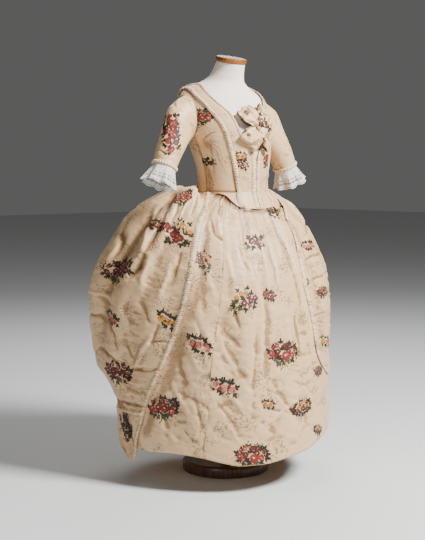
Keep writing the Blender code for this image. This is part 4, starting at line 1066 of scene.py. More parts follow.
def trim_silk():
    found, colour = bpy.data.materials.get("gathered_silk"), settings().trim_colour
    # The second colour is painted shade in the strip's folds.
    return found or silk_finish("gathered_silk", colour, scaled(colour, 0.55, 0.42, 0.28), 0.46)


def floss():
    return bpy.data.materials.get("brocade_floss") or brocade_finish()


SIDE_SEAM_GAP = 0.0015  # radians from the side seam to each panel


def side_limit(z, side_y):
    """Edge angle of a front or back bodice panel: the side seam, the armhole or the shoulder seam."""
    rise = np.clip((z - ARMHOLE_Z) / ARMHOLE_HALF_HEIGHT, -1, 1)
    reach = ARMHOLE_HALF_DEPTH * np.sqrt(1.0 - rise * rise)
    turns = np.linspace(0, math.pi, 181)
    edge = np.empty(np.shape(z))
    for spot_index, height in np.ndenumerate(z):
        ys = section(BODY_SECTIONS, turns, np.full(turns.shape, height))[:, 1]
        ridge = np.interp(math.pi / 2, turns, ys)
        edge[spot_index] = np.interp(ridge + side_y * reach[spot_index], ys, turns)
    side = math.pi / 2 + side_y * SIDE_SEAM_GAP
    return np.minimum(edge, side) if side_y < 0 else np.maximum(edge, side)


def robing_edge(z):
    front = [(row[0], row[1]) for row in ROBING if row[1] <= 90.0]
    return np.radians(curve(front, z))


@laid(56, 150, 0.16, 0.36)
def bodice_front(side, across, along):
    z = pick_row(BODICE_ROWS, 1.0 - along)
    outer = side_limit(z[:, 0], -1)[:, None]
    inner = np.minimum(np.maximum(math.radians(4.0), robing_edge(z) - math.radians(9.0)), outer - 0.05)
    return body_point(side * mix(outer, inner, across), z, HALF_WALL)


@laid(150, 130, 0.36, 0.34)
def bodice_back(_, across, along):
    z = pick_row(BODICE_ROWS, 1.0 - along)
    edge = side_limit(z[:, 0], 1)[:, None]
    angle = mix(edge, math.tau - edge, across)
    away = np.minimum(angle - math.pi / 2, 1.5 * math.pi - angle)
    top = mix(SHOULDER_Z, BACK_NECK_Z, smooth(away / math.radians(35)))
    floor = WAIST_Z + 0.3 * MM
    z = floor + (z - floor) * (top - WAIST_Z) / (SHOULDER_Z - WAIST_Z)
    return body_point(angle, z, HALF_WALL)


TAB_DEGREES = (20.0, 72.0)
ROBING_OUT = 3.1 * MM
BOW_OUT = 13.6 * MM


@laid(90, 24, 0.13, 0.06)
def front_tab(side, across, along):
    degrees = mix(*TAB_DEGREES, across)
    z = mix(TAB_TOP, tab_height(side * degrees), along)
    return body_point(side * np.radians(degrees), z, 0.7 * MM)


@laid(44, 330, 0.080, 0.78)
def robing(side, across, along):
    at = (1.0 - along) * (len(ROBING) - 1)
    rows = [(i, *row) for i, row in enumerate(ROBING)]
    z_out, a_out, z_in, a_in = (curve(rows, at, column) for column in (1, 2, 3, 4))
    z = mix(z_out, z_in, across)
    ease = 1.6 * MM * smooth((z - 1.235) / 0.03)
    return body_point(side * np.radians(mix(a_out, a_in, across)), z, ROBING_OUT + ease)


SIDE_HEIGHTS = (1.0, 1.31)


def body_side_x(y, z):
    """Where the body's side is, at a y and a height."""
    turns = np.linspace(0, math.pi, 91)
    heights = np.linspace(*SIDE_HEIGHTS, 63)
    net = section(BODY_SECTIONS, turns[None, :], heights[:, None])
    ys = np.linspace(-0.16, 0.13, 59)
    table = np.array([np.interp(ys, row[:, 1], row[:, 0]) for row in net])
    fy = np.clip((y - ys[0]) / (ys[1] - ys[0]), 0, len(ys) - 1.001)
    fz = np.clip((z - heights[0]) / (heights[1] - heights[0]), 0, len(heights) - 1.001)
    i, k = np.floor(fy).astype(int), np.floor(fz).astype(int)
    fy, fz = fy - i, fz - k
    return mix(mix(table[k, i], table[k, i + 1], fy), mix(table[k + 1, i], table[k + 1, i + 1], fy), fz)


def sleeve_point(side, across, along, out):
    """A point of the sleeve. across goes round from under the arm; past 1, along is metres beyond the cuff."""
    rings = [(i, *row) for i, row in enumerate(SLEEVE_RINGS)]
    at = np.minimum(along, 1.0) * (len(SLEEVE_RINGS) - 1)
    x, centre_y, z, slope, half_height, half_depth = (curve(rings, at, column) for column in range(1, 7))
    slope = np.radians(slope)
    extra = np.maximum(0.0, along - 1.0)
    angle = math.tau * mix(0.0005, 0.9995, across)
    height = -(half_height + out) * np.cos(angle)
    y = centre_y + (half_depth + out) * np.sin(angle)
    px = x + height * np.sin(slope) + extra * np.cos(slope)
    pz = z + height * np.cos(slope) - extra * np.sin(slope)
    rest = body_side_x(y, np.clip(pz, *SIDE_HEIGHTS)) + WALL + 0.9 * MM
    near = mix(np.maximum(px, rest), rest, 1.0 - smooth(along * 3.0))
    return points(side * np.where(along < 1.0, near, px), y, pz)


@laid(120, 110, 0.30, 0.25, tube_of)
def sleeve(side, across, along):
    return sleeve_point(side, across, along * 0.998, HALF_WALL)


@laid(320, 9, 0.27, 0.014, tube_of)
def sleeve_cuff(side, across, along):
    down = mix(0.955, 0.999, along)
    puff = ruching(across * 0.27, 0.0085, 31)
    arch = np.sqrt(np.clip(1.0 - (2 * along - 1) ** 2, 0, 1))
    return sleeve_point(side, across, down, (1.6 + 4.6 * arch * (0.30 + 0.70 * puff)) * MM)


def ruching(metres, pitch, seed):
    """How a gathered strip puffs up along its length: 0 at each pinch and 1 on each puff."""
    uneven = 2.6 * ripple(metres / 0.019, np.full(np.shape(metres), 0.5), seed)
    return np.abs(np.sin(math.pi * metres / pitch + uneven)) ** 0.7


@laid(320, 44, 0.46, 0.062, tube_of)
def lace_ruffle(side, across, along):
    angle = math.tau * across
    flare = 0.019 * along ** 1.25
    wave = 0.0062 * along * np.cos(7 * angle + 0.6 * np.sin(2 * angle))
    fine = 0.0012 * np.sqrt(along) * np.cos(13 * angle + 1.3 * np.sin(3 * angle) + 0.5)
    scallop = 0.005 * (np.abs(np.sin(10 * angle * 0.5 + 0.4)) - 0.5) * smooth(along * 3 - 2)
    drop = 1.0 + 0.3 * MM + (0.061 + scallop) * along
    return sleeve_point(side, across, drop, flare + wave + fine)


# One repeat of the lace, from the cuff down to the edge: # is thread and . is open.
LACE_CHART = (
    "################",
    "#.##.##.##.##.##",
    "################",
    "##############.#",
    "#####..##..###.#",
    "####....#....###",
    "#.###..##..####.",
    "########.#######",
    "###..##...##..##",
    "##....#...#....#",
    "###..##...##..##",
    "########.#######",
    "#.####.###.#####",
    "################",
    "#..#..#..#..#..#",
    "################",
)


NET_ROWS = 12  # rows of plain net above the charted lace


def lace_holes(ruffle):
    """Which cells of the lace are open, from its chart."""
    rows, columns = (count - 1 for count in ruffle.x.shape)
    chart = np.array([[mark == "." for mark in line] for line in LACE_CHART])
    k, i = np.meshgrid(np.arange(rows), np.arange(columns), indexing="ij")
    line = np.clip(((k - NET_ROWS) * len(chart)) // (rows - NET_ROWS), 0, len(chart) - 1)
    drop = chart[line, i % chart.shape[1]] & (k >= NET_ROWS)
    drop[:, 0] = drop[:, -1] = drop[-1] = False
    net = (k > 3) & (k < NET_ROWS) & (k % 3 == 1) & (i % 4 == 1)
    return drop | net


PROFILE_Z = np.linspace(PETTICOAT_TOP, HEM_LOW, 240)


def skirt_height(share, hem):
    """Height down the petticoat at an even pace along the cloth."""
    reach = curve(SKIRT_SECTIONS, PROFILE_Z, 1)
    run = np.concatenate([[0.0], np.cumsum(np.hypot(np.diff(reach), np.diff(PROFILE_Z)))])
    z = np.interp(share * run[-1], run, PROFILE_Z)
    return PETTICOAT_TOP - (PETTICOAT_TOP - z) * (PETTICOAT_TOP - hem) / (PETTICOAT_TOP - HEM_LOW)


def panel_edges(z):
    front = curve(FRONT_SEAMS, z)
    return (-front, front, *(np.full(np.shape(z), at) for at in BACK_SEAM_DEGREES), 360.0 - front)


def petticoat_panel(i, columns, rows, width):
    def place(across, along):
        middle = panel_edges(0.5)
        degrees = mix(float(middle[i]), float(middle[i + 1]), across)
        hem = curve(HEM, (degrees + 180.0) % 360.0 - 180.0)
        z = skirt_height(along, hem)
        edges = panel_edges(z)
        degrees = mix(edges[i] + SEAM_DEGREES, edges[i + 1] - SEAM_DEGREES, across)
        return skirt_point(np.radians(degrees), z, HALF_WALL)
    return lay(place, columns, rows, width, 0.95)


def front_degrees(places):
    """How far round from centre front a place of the skirt is, in degrees."""
    z = in_skirt(places[..., 2])
    half, front, back, centre = (curve(SKIRT_SECTIONS, z, column) for column in (1, 2, 3, 4))
    ahead = centre - places[..., 1]
    return np.degrees(np.arctan2(places[..., 0] / half, ahead / np.where(ahead > 0, centre - front, back - centre)))


def tab_height(degrees):
    """Lower edge of the tabs. The one on the wearer's left hangs a little lower, as in the photograph."""
    return curve(TAB_EDGE, np.abs(degrees)) - 16 * MM * smooth((degrees - 8) / 22) * (1 - smooth((degrees - 54) / 16))


def shadow_tint(places):
    """Darker silk on the petticoat just below the tabs and beside the overskirt's front edges."""
    z, degrees = in_skirt(places[..., 2]), front_degrees(places)
    below = tab_height(degrees) - places[..., 2]
    tabs = np.exp(-((below - 4 * MM) / (5 * MM)) ** 2) * (np.abs(degrees) < 66)
    beside = np.exp(-((degrees - curve(RIGHT_EDGE, z) - 4.5) / 3.0) ** 2) \
        * (0.6 + 0.5 * ripple(z / 0.05, degrees / 5, 68))
    return -1.9 * tabs - 1.1 * beside * smooth((0.93 - z) / 0.05)


def exposed(places):
    """1 where the petticoat shows between the overskirt's front edges, 0 where it is covered."""
    z, degrees = in_skirt(places[..., 2]), front_degrees(places)
    return smooth((degrees - curve(RIGHT_EDGE, z) - 3.0) / 6.0) * smooth((curve(LEFT_EDGE, z) - 3.0 - degrees) / 6.0)


def over_fullness(share, down):
    """How far the overskirt stands off the petticoat: quickly at the gathered waist, slowly lower down."""
    right = mix(WAIST_RIGHT_RAMP, RIGHT_RAMP, smooth(down / WAIST_RAMP_ENDS))
    left = mix(WAIST_LEFT_RAMP, LEFT_RAMP, smooth(down / WAIST_RAMP_ENDS))
    return smooth((share - 0.01) / right) * smooth((0.99 - share) / left)


def over_base(share, down):
    """The overskirt's own face. share goes from its right front edge round the back to the left one."""
    foot = mix(RIGHT_EDGE_FOOT, LEFT_EDGE_FOOT, smooth(share))
    edge_z = mix(OVER_TOP, foot, down)
    angle = np.radians(mix(curve(RIGHT_EDGE, edge_z), curve(LEFT_EDGE, edge_z) - 360.0, share))
    rest = mix(OVER_TOP_REST, OVER_REST, smooth(down * 12)) + HALF_WALL
    flat = skirt_point(angle, edge_z, rest)
    reach = curve(PUFF_PROFILE, down, 1)
    z = curve(PUFF_PROFILE, down, 2)
    turn = float(curve(PUFF_PROFILE, FLOUNCE_FROM, 2))
    z = np.where(down > FLOUNCE_FROM, turn + (z - turn) * curve(FLOUNCE, share), z)
    outward = points(np.sin(angle), -np.cos(angle), 0.0)
    centre = points(0.0, mix(SKIRT_SECTIONS[-1][4], PUFF_CENTRE_Y, smooth(down * 4)), 0.0)
    level = flat * LEVEL
    full = mix(level, centre + outward * reach[..., None], smooth(down * 14)[..., None])
    inside = skirt_base(angle, in_skirt(z)) * LEVEL
    clear = np.linalg.norm(inside - centre, axis=-1) + OVER_CLEAR
    radial = full - centre
    size = np.linalg.norm(radial, axis=-1)
    pushed = centre + unit(radial) * clear[..., None]
    full = np.where(((size < clear) & (down > 0.1))[..., None], pushed, full)
    full[..., 2] = mix(flat[..., 2], z, smooth(down * 14))
    return mix(flat, full, over_fullness(share, down)[..., None])


def over_pleat(share, down):
    """How far the overskirt's large pleats stand out or in."""
    total = 0.0
    for at, half, depth, end in OVER_PLEATS:
        fade = smooth(down * 7 - 0.25) * (1.0 - smooth((down - end + 0.22) / 0.25))
        total = total + depth * MM * np.exp(-((share - at) / half) ** 2) * fade
    return total


def overskirt(start, end):
    cloth = lay(lambda across, along: over_base(mix(start, end, across), along), 210, 230, 1.10, 1.22)
    share = mix(start, end, cloth.across)
    cloth.move(over_pleat(share, cloth.along) * smooth(over_fullness(share, cloth.along) * 3))
    near = 1.0 - smooth(np.minimum(share, 1.0 - share) / 0.035)
    cloth.move(-2.2 * MM * near * smooth(cloth.along * 12))
    return cloth


def strip_on(cloth, edge, inset, widths, rows, height, pitch, seed, length):
    """A gathered strip sewn down along one edge of a cloth: 0 for the edge where across starts, 1 for the other.

    widths: at its start, and on the last stretch from STRIP_WIDENS on, down the front below the bow.
    """
    def wide(along):
        return mix(*widths, smooth((along - STRIP_WIDENS) / 0.05))

    def place(across, along):
        down = mix(0.004, 0.996, along)
        skew = 0.35 * pitch * ripple(across * 2.4, along * length / 0.016, seed + 2)
        puff = ruching(along * length + skew, pitch, seed)
        inward = 1.0 - 2.0 * edge
        start, normals = cloth.sample(np.full(along.shape, float(edge)), down)
        later, normals = cloth.sample(np.full(along.shape, edge + 0.04 * inward), down)
        scale = np.maximum(np.linalg.norm(later - start, axis=-1) / 0.04, 0.02)
        sway = 0.7 * MM * ripple(along * length / 0.011, np.full(across.shape, 0.5), seed + 5)
        spread = (across - 0.5) * (0.80 + 0.26 * puff) + 0.5
        at = edge + inward * (inset + spread * wide(along) + sway) / scale
        places, normals = cloth.sample(np.clip(at, 0.0, 1.0), down)
        arch = np.clip(np.sin(math.pi * np.clip((across - 0.08) / 0.84, 0, 1)), 0, 1) ** 0.7
        rim = smooth(np.abs(2 * across - 1) * 6 - 5)
        uneven = 1.0 + 0.35 * ripple(along * length / 0.013, across * 3.0, seed + 3)
        frill = 0.9 * MM * rim * (0.5 + 0.5 * np.sin(math.tau * along * length / (0.7 * pitch) + seed))
        return places + normals * (0.5 * MM + frill + height * arch * (0.22 + 0.78 * puff) * uneven)[..., None]
    strip = lay(place, 8, rows, float(wide(0.5)), length)
    puff = ruching(strip.along * length, pitch, seed)
    mottle = ripple(strip.along * length / 0.0055, strip.across * 4.0, seed + 9)
    rims = smooth(np.abs(2 * strip.across - 1) * 4 - 2.6)
    # Painted shade at the pinches between the puffs; random mottling; darker along both rims.
    strip.tint = 0.30 - 0.8 * (1.0 - puff) ** 1.5 + 0.9 * mottle - 1.5 * rims * (0.4 + 0.6 * smooth(0.6 + mottle))
    return strip


# Strips of the robings: edge, widths, height of the puffs, flat width and length.
ROBING_STRIPS = (
    ("outer", (0.017, 0.017), 3.9 * MM, (0.017, 1.00)),
    ("inner", (0.009, 0.019), 2.8 * MM, (0.0105, 0.85)),
)
STRIP_WIDENS = 0.71


def bow_point(x, z, out):
    half_width = curve(BODY_SECTIONS, z, 1)
    return body_point(np.arcsin(np.clip(x / half_width, -0.99, 0.99)), z, BOW_OUT + out)


# Bow loops: name, lean from upright in degrees (positive to the wearer's left), length, half width, swell.
BOW_LOOPS = (
    ("upper_right", -30, 0.066, 0.031, 0.013), ("upper_left", 58, 0.08, 0.04, 0.013),
    ("lower_left", 132, 0.068, 0.035, 0.011), ("lower_right", -140, 0.062, 0.033, 0.01),
)
BOW_CENTRE_Z = 1.172
KNOT_RADIUS = 7.3 * MM


def bow_loop(lean, length, half, swell, seed):
    """One loop of the bow, crumpled, broad where it meets the knot and laid over the loop before it."""
    turn = math.radians(lean)

    def place(across, along):
        angle = mix(-0.93, 0.93, along) * math.pi
        off = mix(-1.0, 1.0, across)
        uneven = 1.0 + 0.07 * ripple(off * 2.2, np.full(off.shape, 0.5), seed + 2)
        reach = 0.005 + length * (0.51 + 0.49 * np.cos(angle)) * uneven
        wavy = 1.0 + 0.12 * ripple(reach / 0.02, off * 2.0, seed + 4)
        side = off * half * (0.55 + 0.45 * smooth(reach / length * 1.6)) * wavy
        lift = 4 * MM + swell * np.sin(angle) * (0.8 - 0.25 * (side / half) ** 2)
        fold = 1.0 - smooth(reach / length * 1.1)
        lift = lift + (1.8 * np.cos(across * 9.0 + seed) * (0.3 + fold) + (2.0 - (seed % 4) * 1.2) * fold) * MM
        crushed = 3.0 * ripple(side / 0.013, reach / 0.018, seed) + 2.6 * crumple(side, reach, seed + 7, 0.013)
        lift = lift + MM * crushed * smooth(reach / length * 3)
        x = math.sin(turn) * reach + math.cos(turn) * side
        z = BOW_CENTRE_Z + math.cos(turn) * reach - math.sin(turn) * side
        return bow_point(x, z, lift)
    loop = lay(place, 34, 110, 2 * half, 2.3 * length)
    rim = smooth(np.abs(2 * loop.across - 1) * 7 - 6)
    loop.tint = -1.1 * rim + 1.3 * ripple(loop.x / 0.008, loop.y / 0.012, seed + 6) - 0.1
    return loop


# Form below the waist: height, half width, front y, back y.
FORM_LOWER = (
    (0.800, 0.140, -0.132, 0.112), (0.830, 0.144, -0.136, 0.114), (0.880, 0.138, -0.140, 0.108),
    (0.930, 0.122, -0.144, 0.090), (0.955, 0.1125, -0.1445, 0.0768),
)
FORM_INSET = 2.0 * MM
NECK_LEAN_Z = 1.345


def form_mesh():
    """The form, ring by ring from its flat underside to the flat top of its neck."""
    across, along = np.meshgrid(np.linspace(0, 1, 97), np.linspace(0, 1, 131))
    angle = math.tau * across
    z = mix(FORM_LOWER[0][0], NECK_TOP_Z, along)
    heights, *columns = zip(*FORM_LOWER)
    half, front, back = (np.interp(z, heights, column) for column in columns)
    centre = BODY_SECTIONS[0][4]
    depth = np.where(np.cos(angle) > 0, centre - front, back - centre)
    below = points(half * np.sin(angle), centre - depth * np.cos(angle), z)
    above = offset(trunk_base, angle, z, np.full(z.shape, -FORM_INSET))
    outward = points(np.sin(angle), -np.cos(angle), 0.0)
    neck = trunk_base(angle, z) - outward * FORM_INSET
    above = mix(above, neck, smooth((z - 1.340) / 0.02)[..., None])
    places = mix(below, above, smooth((z - FORM_LOWER[-1][0]) / 0.014)[..., None])
    lean = smooth((z - NECK_LEAN_Z) / (NECK_TOP_Z - NECK_LEAN_Z))
    places[..., 2] = z + math.tan(NECK_TILT) * (places[..., 1] - BODY_SECTIONS[-1][4]) * lean
    flat = np.stack([across * 0.7, along * 0.6], axis=-1)
    mesh = grid_mesh("dress_form", places, flat, np.zeros(across.shape), False)
    with edited(mesh) as bm:
        bmesh.ops.remove_doubles(bm, verts=bm.verts, dist=1e-5)
        rims = [edge for edge in bm.edges if edge.is_boundary]
        bmesh.ops.holes_fill(bm, edges=rims, sides=0)
        bmesh.ops.recalc_face_normals(bm, faces=bm.faces[:])
    return mesh


# Creases seen in the photograph, in its pixels: start x, y, end x, y, half width in mm, height in mm.
LINES = {
    "overskirt_right": (
        (173, 193, 163, 216, 19, -17), (163, 216, 146, 250, 22, -19), (146, 250, 128, 281, 20, -15),
        (131, 222, 115, 256, 17, -13), (118, 214, 104, 236, 12, -9), (189, 198, 178, 222, 11, 7),
        (182, 198, 170, 226, 8, -5), (160, 205, 150, 226, 12, 8), (150, 226, 140, 252, 12, 9),
        (121, 240, 106, 262, 12, 8), (196, 196, 192, 216, 7, -5), (150, 338, 134, 367, 11, 11),
        (132, 369, 157, 369, 9, -12), (148, 341, 166, 341, 6, -6), (161, 347, 167, 353, 5, -5),
        (116, 406, 131, 412, 6, 9), (131, 412, 145, 412, 6, 9), (115, 400, 131, 405, 8, -9),
        (131, 405, 147, 405, 8, -8), (117, 300, 128, 330, 14, 7), (106, 316, 118, 350, 13, -8),
        (140, 300, 152, 326, 12, -6), (171, 262, 158, 302, 13, 6), (181, 250, 172, 286, 10, -5),
        (100, 348, 120, 367, 10, -8), (112, 373, 140, 385, 10, 7), (122, 392, 142, 396, 8, 6),
        (150, 256, 138, 292, 12, 7), (126, 416, 134, 446, 9, -7), (120, 425, 124, 442, 7, 5),
        (97, 288, 112, 302, 11, 7), (96, 310, 106, 322, 8, -6), (158, 322, 150, 346, 9, -5),
        (124, 340, 132, 356, 8, -5), (130, 300, 122, 316, 9, -5), (140, 388, 148, 398, 6, -4),
        (104, 268, 118, 286, 9, -6),
    ),
    "overskirt_left": (
        (292, 203, 304, 236, 11, -8), (286, 200, 300, 214, 8, 6), (301, 214, 313, 244, 10, 7),
        (300, 238, 310, 275, 8, -6), (306, 262, 318, 250, 8, -6), (312, 268, 326, 276, 8, 6),
        (306, 288, 322, 268, 7, -5), (312, 285, 327, 298, 7, 5), (308, 318, 328, 311, 7, -6),
        (316, 345, 328, 332, 7, 5), (314, 322, 327, 328, 6, 4),
    ),
    "petticoat_front": (
        (278, 200, 293, 230, 16, -6), (275, 230, 297, 275, 15, -7), (297, 272, 303, 302, 11, -5),
        (267, 241, 279, 290, 13, -4), (285, 214, 299, 262, 14, 5), (259, 222, 268, 290, 15, 5),
        (238, 251, 250, 271, 9, -5), (232, 306, 240, 330, 8, -6), (240, 222, 243, 262, 12, 4),
        (228, 258, 238, 300, 12, 4), (250, 262, 262, 310, 12, 4), (262, 300, 259, 386, 10, 5),
        (268, 310, 266, 380, 12, -4), (256, 330, 252, 420, 10, -4), (237, 210, 236, 222, 4, -2.5),
        (213, 330, 236, 372, 9, 4), (222, 330, 245, 352, 8, -4), (220, 385, 250, 420, 10, 4),
        (216, 400, 240, 432, 8, -4), (262, 425, 292, 405, 9, 4), (272, 380, 300, 420, 9, -4.5),
        (285, 300, 292, 350, 10, 4), (294, 310, 302, 362, 9, -4), (226, 425, 246, 448, 8, 4),
        (240, 445, 262, 452, 7, -3), (212, 412, 232, 402, 7, -3), (294, 440, 306, 420, 8, 4),
        (300, 380, 316, 412, 8, 4), (306, 330, 316, 372, 9, -4), (276, 430, 298, 440, 7, 3),
        (270, 345, 282, 372, 7, -3), (246, 400, 262, 412, 6, -3), (230, 352, 250, 392, 9, -3),
    ),
    "petticoat_right": (
        (221, 197, 218, 216, 5, -4), (211, 219, 215, 235, 7, -6), (215, 234, 224, 241, 6, -5),
        (218, 214, 221, 234, 7, 4), (207, 232, 202, 256, 8, -4), (206, 260, 214, 300, 9, 4),
        (200, 280, 206, 320, 12, -5), (196, 318, 208, 352, 9, -4), (186, 345, 200, 372, 9, 4),
        (178, 350, 186, 392, 11, -5), (172, 380, 190, 420, 10, 4), (160, 395, 168, 440, 12, -5),
        (158, 425, 178, 444, 8, 3), (192, 395, 204, 430, 9, -4), (208, 204, 206, 224, 6, 4),
        (206, 330, 214, 352, 8, 3), (184, 430, 200, 446, 7, -3),
    ),
    "bodice_front_right": (
        (189, 146, 203, 138, 5, -1.4), (203, 138, 216, 131, 5, -1.2), (190, 140, 206, 131, 6, 5),
        (192, 152, 207, 145, 6, 4.5), (198, 172, 208, 158, 6, -1.4), (210, 146, 214, 178, 8, -2),
        (198, 182, 214, 182, 2.5, -2), (200, 160, 204, 178, 6, 2), (193, 120, 196, 140, 4, -1.4),
    ),
    "sleeve_right": (
        (172, 104, 186, 112, 5, -3), (168, 118, 188, 126, 5, 2.5), (165, 128, 186, 138, 4, -3),
        (160, 142, 180, 148, 4, 2.5), (156, 150, 178, 156, 4, -3), (158, 160, 176, 163, 4, 2),
        (176, 96, 182, 120, 5, 2),
    ),
    "sleeve_left": (
        (270, 108, 280, 130, 5, -3), (276, 126, 290, 140, 4, 2.5), (278, 138, 292, 150, 4, -2.5),
        (281, 150, 296, 156, 4, 2),
    ),
}
# Shades seen there without a crease, in the same terms.
SHADES = {
    "bodice_front_right": (
        (188, 145, 203, 138, 4, -30), (202, 138, 217, 131, 3.5, -26), (190, 152, 198, 178, 6, -20),
        (200, 152, 206, 168, 5, -10), (199, 180, 226, 181, 3, -22), (216, 150, 226, 176, 5, -14),
    ),
}

# Sprays seen in the photograph: drawing, colours, pixel x, pixel y, width in metres, turn in degrees.
SPRAYS = {
    "overskirt_right": (
        ("bouquet", "red", 182, 197, 0.072, 10), ("band", "brown", 155, 224, 0.066, -14),
        ("trailing", "two", 181, 237, 0.108, 0), ("bouquet", "plum", 120, 271, 0.104, 0),
        ("band", "pink", 111, 319, 0.066, -22), ("band", "gold", 169, 322, 0.078, -18),
        ("bouquet", "plum", 118, 373, 0.112, -16), ("climber", "dark", 127, 427, 0.046, 25),
    ),
    "overskirt_left": (
        ("band", "pink", 308, 246, 0.052, 16), ("sprig", "gold", 304, 282, 0.03, 20),
        ("bouquet", "plum", 324, 292, 0.054, 10), ("sprig", "gold", 325, 341, 0.046, 0),
    ),
    "petticoat_front": (
        ("sprig", "plum", 255, 242, 0.06, 180), ("trailing_left", "pansy", 245, 303, 0.095, 0),
        ("sprig", "rose", 269, 295, 0.046, -8), ("bouquet", "red", 284, 353, 0.116, 0),
        ("band", "pink", 224, 388, 0.086, -8), ("sprig", "gold", 269, 405, 0.04, 0),
        ("bouquet", "orange", 302, 408, 0.078, 10), ("bouquet", "red", 252, 456, 0.116, 0),
        ("bouquet_left", "orange", 318, 430, 0.05, 0), ("band", "dark", 273, 213, 0.048, -12),
        ("bouquet", "plum", 318, 371, 0.05, 0),
    ),
    "petticoat_right": (
        ("trailing", "pansy", 203, 262, 0.07, -25), ("band", "pink", 200, 345, 0.086, -14),
        ("bouquet", "red", 163, 408, 0.108, 0),
    ),
    "bodice_front_right": (("bouquet", "red", 201, 117, 0.078, 14), ("band", "dark", 199, 163, 0.042, 8)),
    "robing_right": (
        ("sprig", "plum", 228, 161, 0.03, 0), ("sprig", "gold", 241, 156, 0.04, 10),
        ("sprig", "plum", 243, 165, 0.04, -20),
    ),
    "robing_left": (("climber", "brown", 266, 160, 0.024, 0),),
    "sleeve_right": (("climber", "rose", 171, 134, 0.066, 8),),
    "bow_upper_right": (("sprig", "plum", 246, 112, 0.016, 0),),
    "bow_upper_left": (("sprig", "red", 259, 119, 0.05, 0), ("band", "dark", 263, 128, 0.05, -12)),
    "bow_lower_left": (("band", "dark", 262, 142, 0.03, 30),),
    "bow_lower_right": (("sprig", "plum", 249, 135, 0.014, 0),),
}

# Sprays where the photograph shows none: drawing, colours, share across, share along, width, turn, seed.
GUESSED_SPRAYS = {
    "bodice_front_left": [("bouquet", "red", 0.42, 0.3, 0.09, 10, 511), ("band", "brown", 0.45, 0.72, 0.055, 0, 512)],
    "robing": [("sprig", "red", 0.5, 0.10 + 0.09 * n, 0.034, 20 * n, 530 + n) for n in range(3)],
    "sleeve": [("bouquet", "red", 0.28, 0.45, 0.085, 0, 550), ("sprig", "plum", 0.3, 0.8, 0.04, 0, 551)],
}

# Petticoat panels: name, columns, rows, width in metres.
PETTICOAT_PANELS = (("front", 130, 185, 0.575), ("left", 110, 160, 0.585), ("back", 100, 150, 0.575),
                    ("right", 125, 180, 0.585))
# Overskirt halves: name, share of the way round at its start and end, flat size, area, length of its strip, and where
# its spray repeat lies: from and to across, from and to along.
OVERSKIRT_HALVES = (
    ("right", 0.0, 0.4999, (1.10, 1.25), 1.08, 1.0, (0.56, 0.97, 0.06, 0.96)),
    ("left", 0.5001, 1.0, (1.10, 1.10), 0.92, 0.72, (0.03, 0.66, 0.06, 0.96)),
)
# Curved seams of the bodice back: share across at the waist, and how far it sways in at the top.
BACK_SEAMS = ((0.5, 0.0), (0.36, 0.05), (0.64, -0.05), (0.22, 0.07), (0.78, -0.07))


# Operators


class PieceOperator(bpy.types.Operator):
    bl_options = {"REGISTER", "UNDO"}


class SILK_OT_stand(PieceOperator):
    """Finishes the round foot, its pole and the neck cap, and makes the cloth-covered form"""
    bl_idname = "silk_dress.stand"
    bl_label = "Form and stand"

    def execute(self, context):
        look = context.scene.dress_stand
        foot = wood_finish("dark_foot_wood", look.foot_colour, scaled(look.foot_colour, 0.35), 0.30, 0.30, 26.0)
        cap = wood_finish("varnished_cap_wood", look.cap_colour, scaled(look.cap_colour, 0.45), 0.34, 0.35, 70.0)
        for name, finish in (("stand_base", foot), ("stand_pole", foot), ("neck_cap", cap)):
            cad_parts[name].material_slots[0].material = finish
        finish_piece("dress_form", form_mesh(), [jersey_finish(look.form_colour)], ["form_torso"])
        return {"FINISHED"}


class SILK_OT_bodice(PieceOperator):
    """Makes the bodice fronts and back and the short tabs below the waist"""
    bl_idname = "silk_dress.bodice"
    bl_label = "Bodice"

    def execute(self, context):
        for side, word in SIDES:
            name = f"bodice_front_{word}"
            front = bodice_front(side)
            front.move(front.wrinkles(210 + int(side), 0.35, 20, -0.6, 1.5))
            front.press(LINES.get(name, ()))
            front.press(SHADES.get(name, ()), raised=0.0)
            z = front.places[..., 2]
            degrees = np.degrees(np.arctan2(np.abs(front.places[..., 0]), -front.places[..., 1] - 0.03))
            under_robing = np.argmax(degrees < np.degrees(robing_edge(z)), axis=1)[:, None]
            beside = (front.across - np.take_along_axis(front.across, under_robing, axis=1)) * front.width
            # Painted shade: darker at the waist seam, down the side below the arm in patches, and in a dark line beside
            # the robing's outer edge.
            wear_and_shade = smooth((0.62 - front.across) / 0.25) * smooth((1.15 - z) / 0.03)
            front.tint = front.tint - 0.8 * smooth((0.974 - z) / 0.006) \
                - wear_and_shade * (0.42 + 0.50 * ripple(front.x / 0.030, front.y / 0.045, 41)) \
                - 1.5 * np.exp(-(beside / 0.005) ** 2)
            sprays = seen_sprays(front, SPRAYS.get(name, ()), 500) + GUESSED_SPRAYS.get(name, [])
            add_cloth(name, front, [silk(), floss()], sprays)
            tab = front_tab(side)
            tab.move(tab.wrinkles(230 + int(side), 0.25) + 4.2 * MM * tab.along ** 2)
            # Painted shadow: a dark line along the tab's lower edge.
            tab.tint = -0.9 * smooth((tab.along - 0.93) / 0.05)
            add_cloth(f"front_tab_{word}", tab, [silk()],
                      edges=("bottom",))
        back = bodice_back()
        back.move(back.wrinkles(220, 0.4, 5, -0.6, 1.5))
        seams = np.zeros(back.x.shape)
        for share, sway in BACK_SEAMS:
            ends = [(back.width * (share - 0.5 + sway * (1 - t)), back.length * t) for t in (0.0, 0.5, 1.0)]
            seams = seams + back.line(ends, 2.2, -0.9)
        back.move(seams)
        add_cloth("bodice_back", back, [silk(), floss()],
                  repeat_sprays(back, 23, (), 0.22, 0.78, 0.10, 0.93))
        return {"FINISHED"}


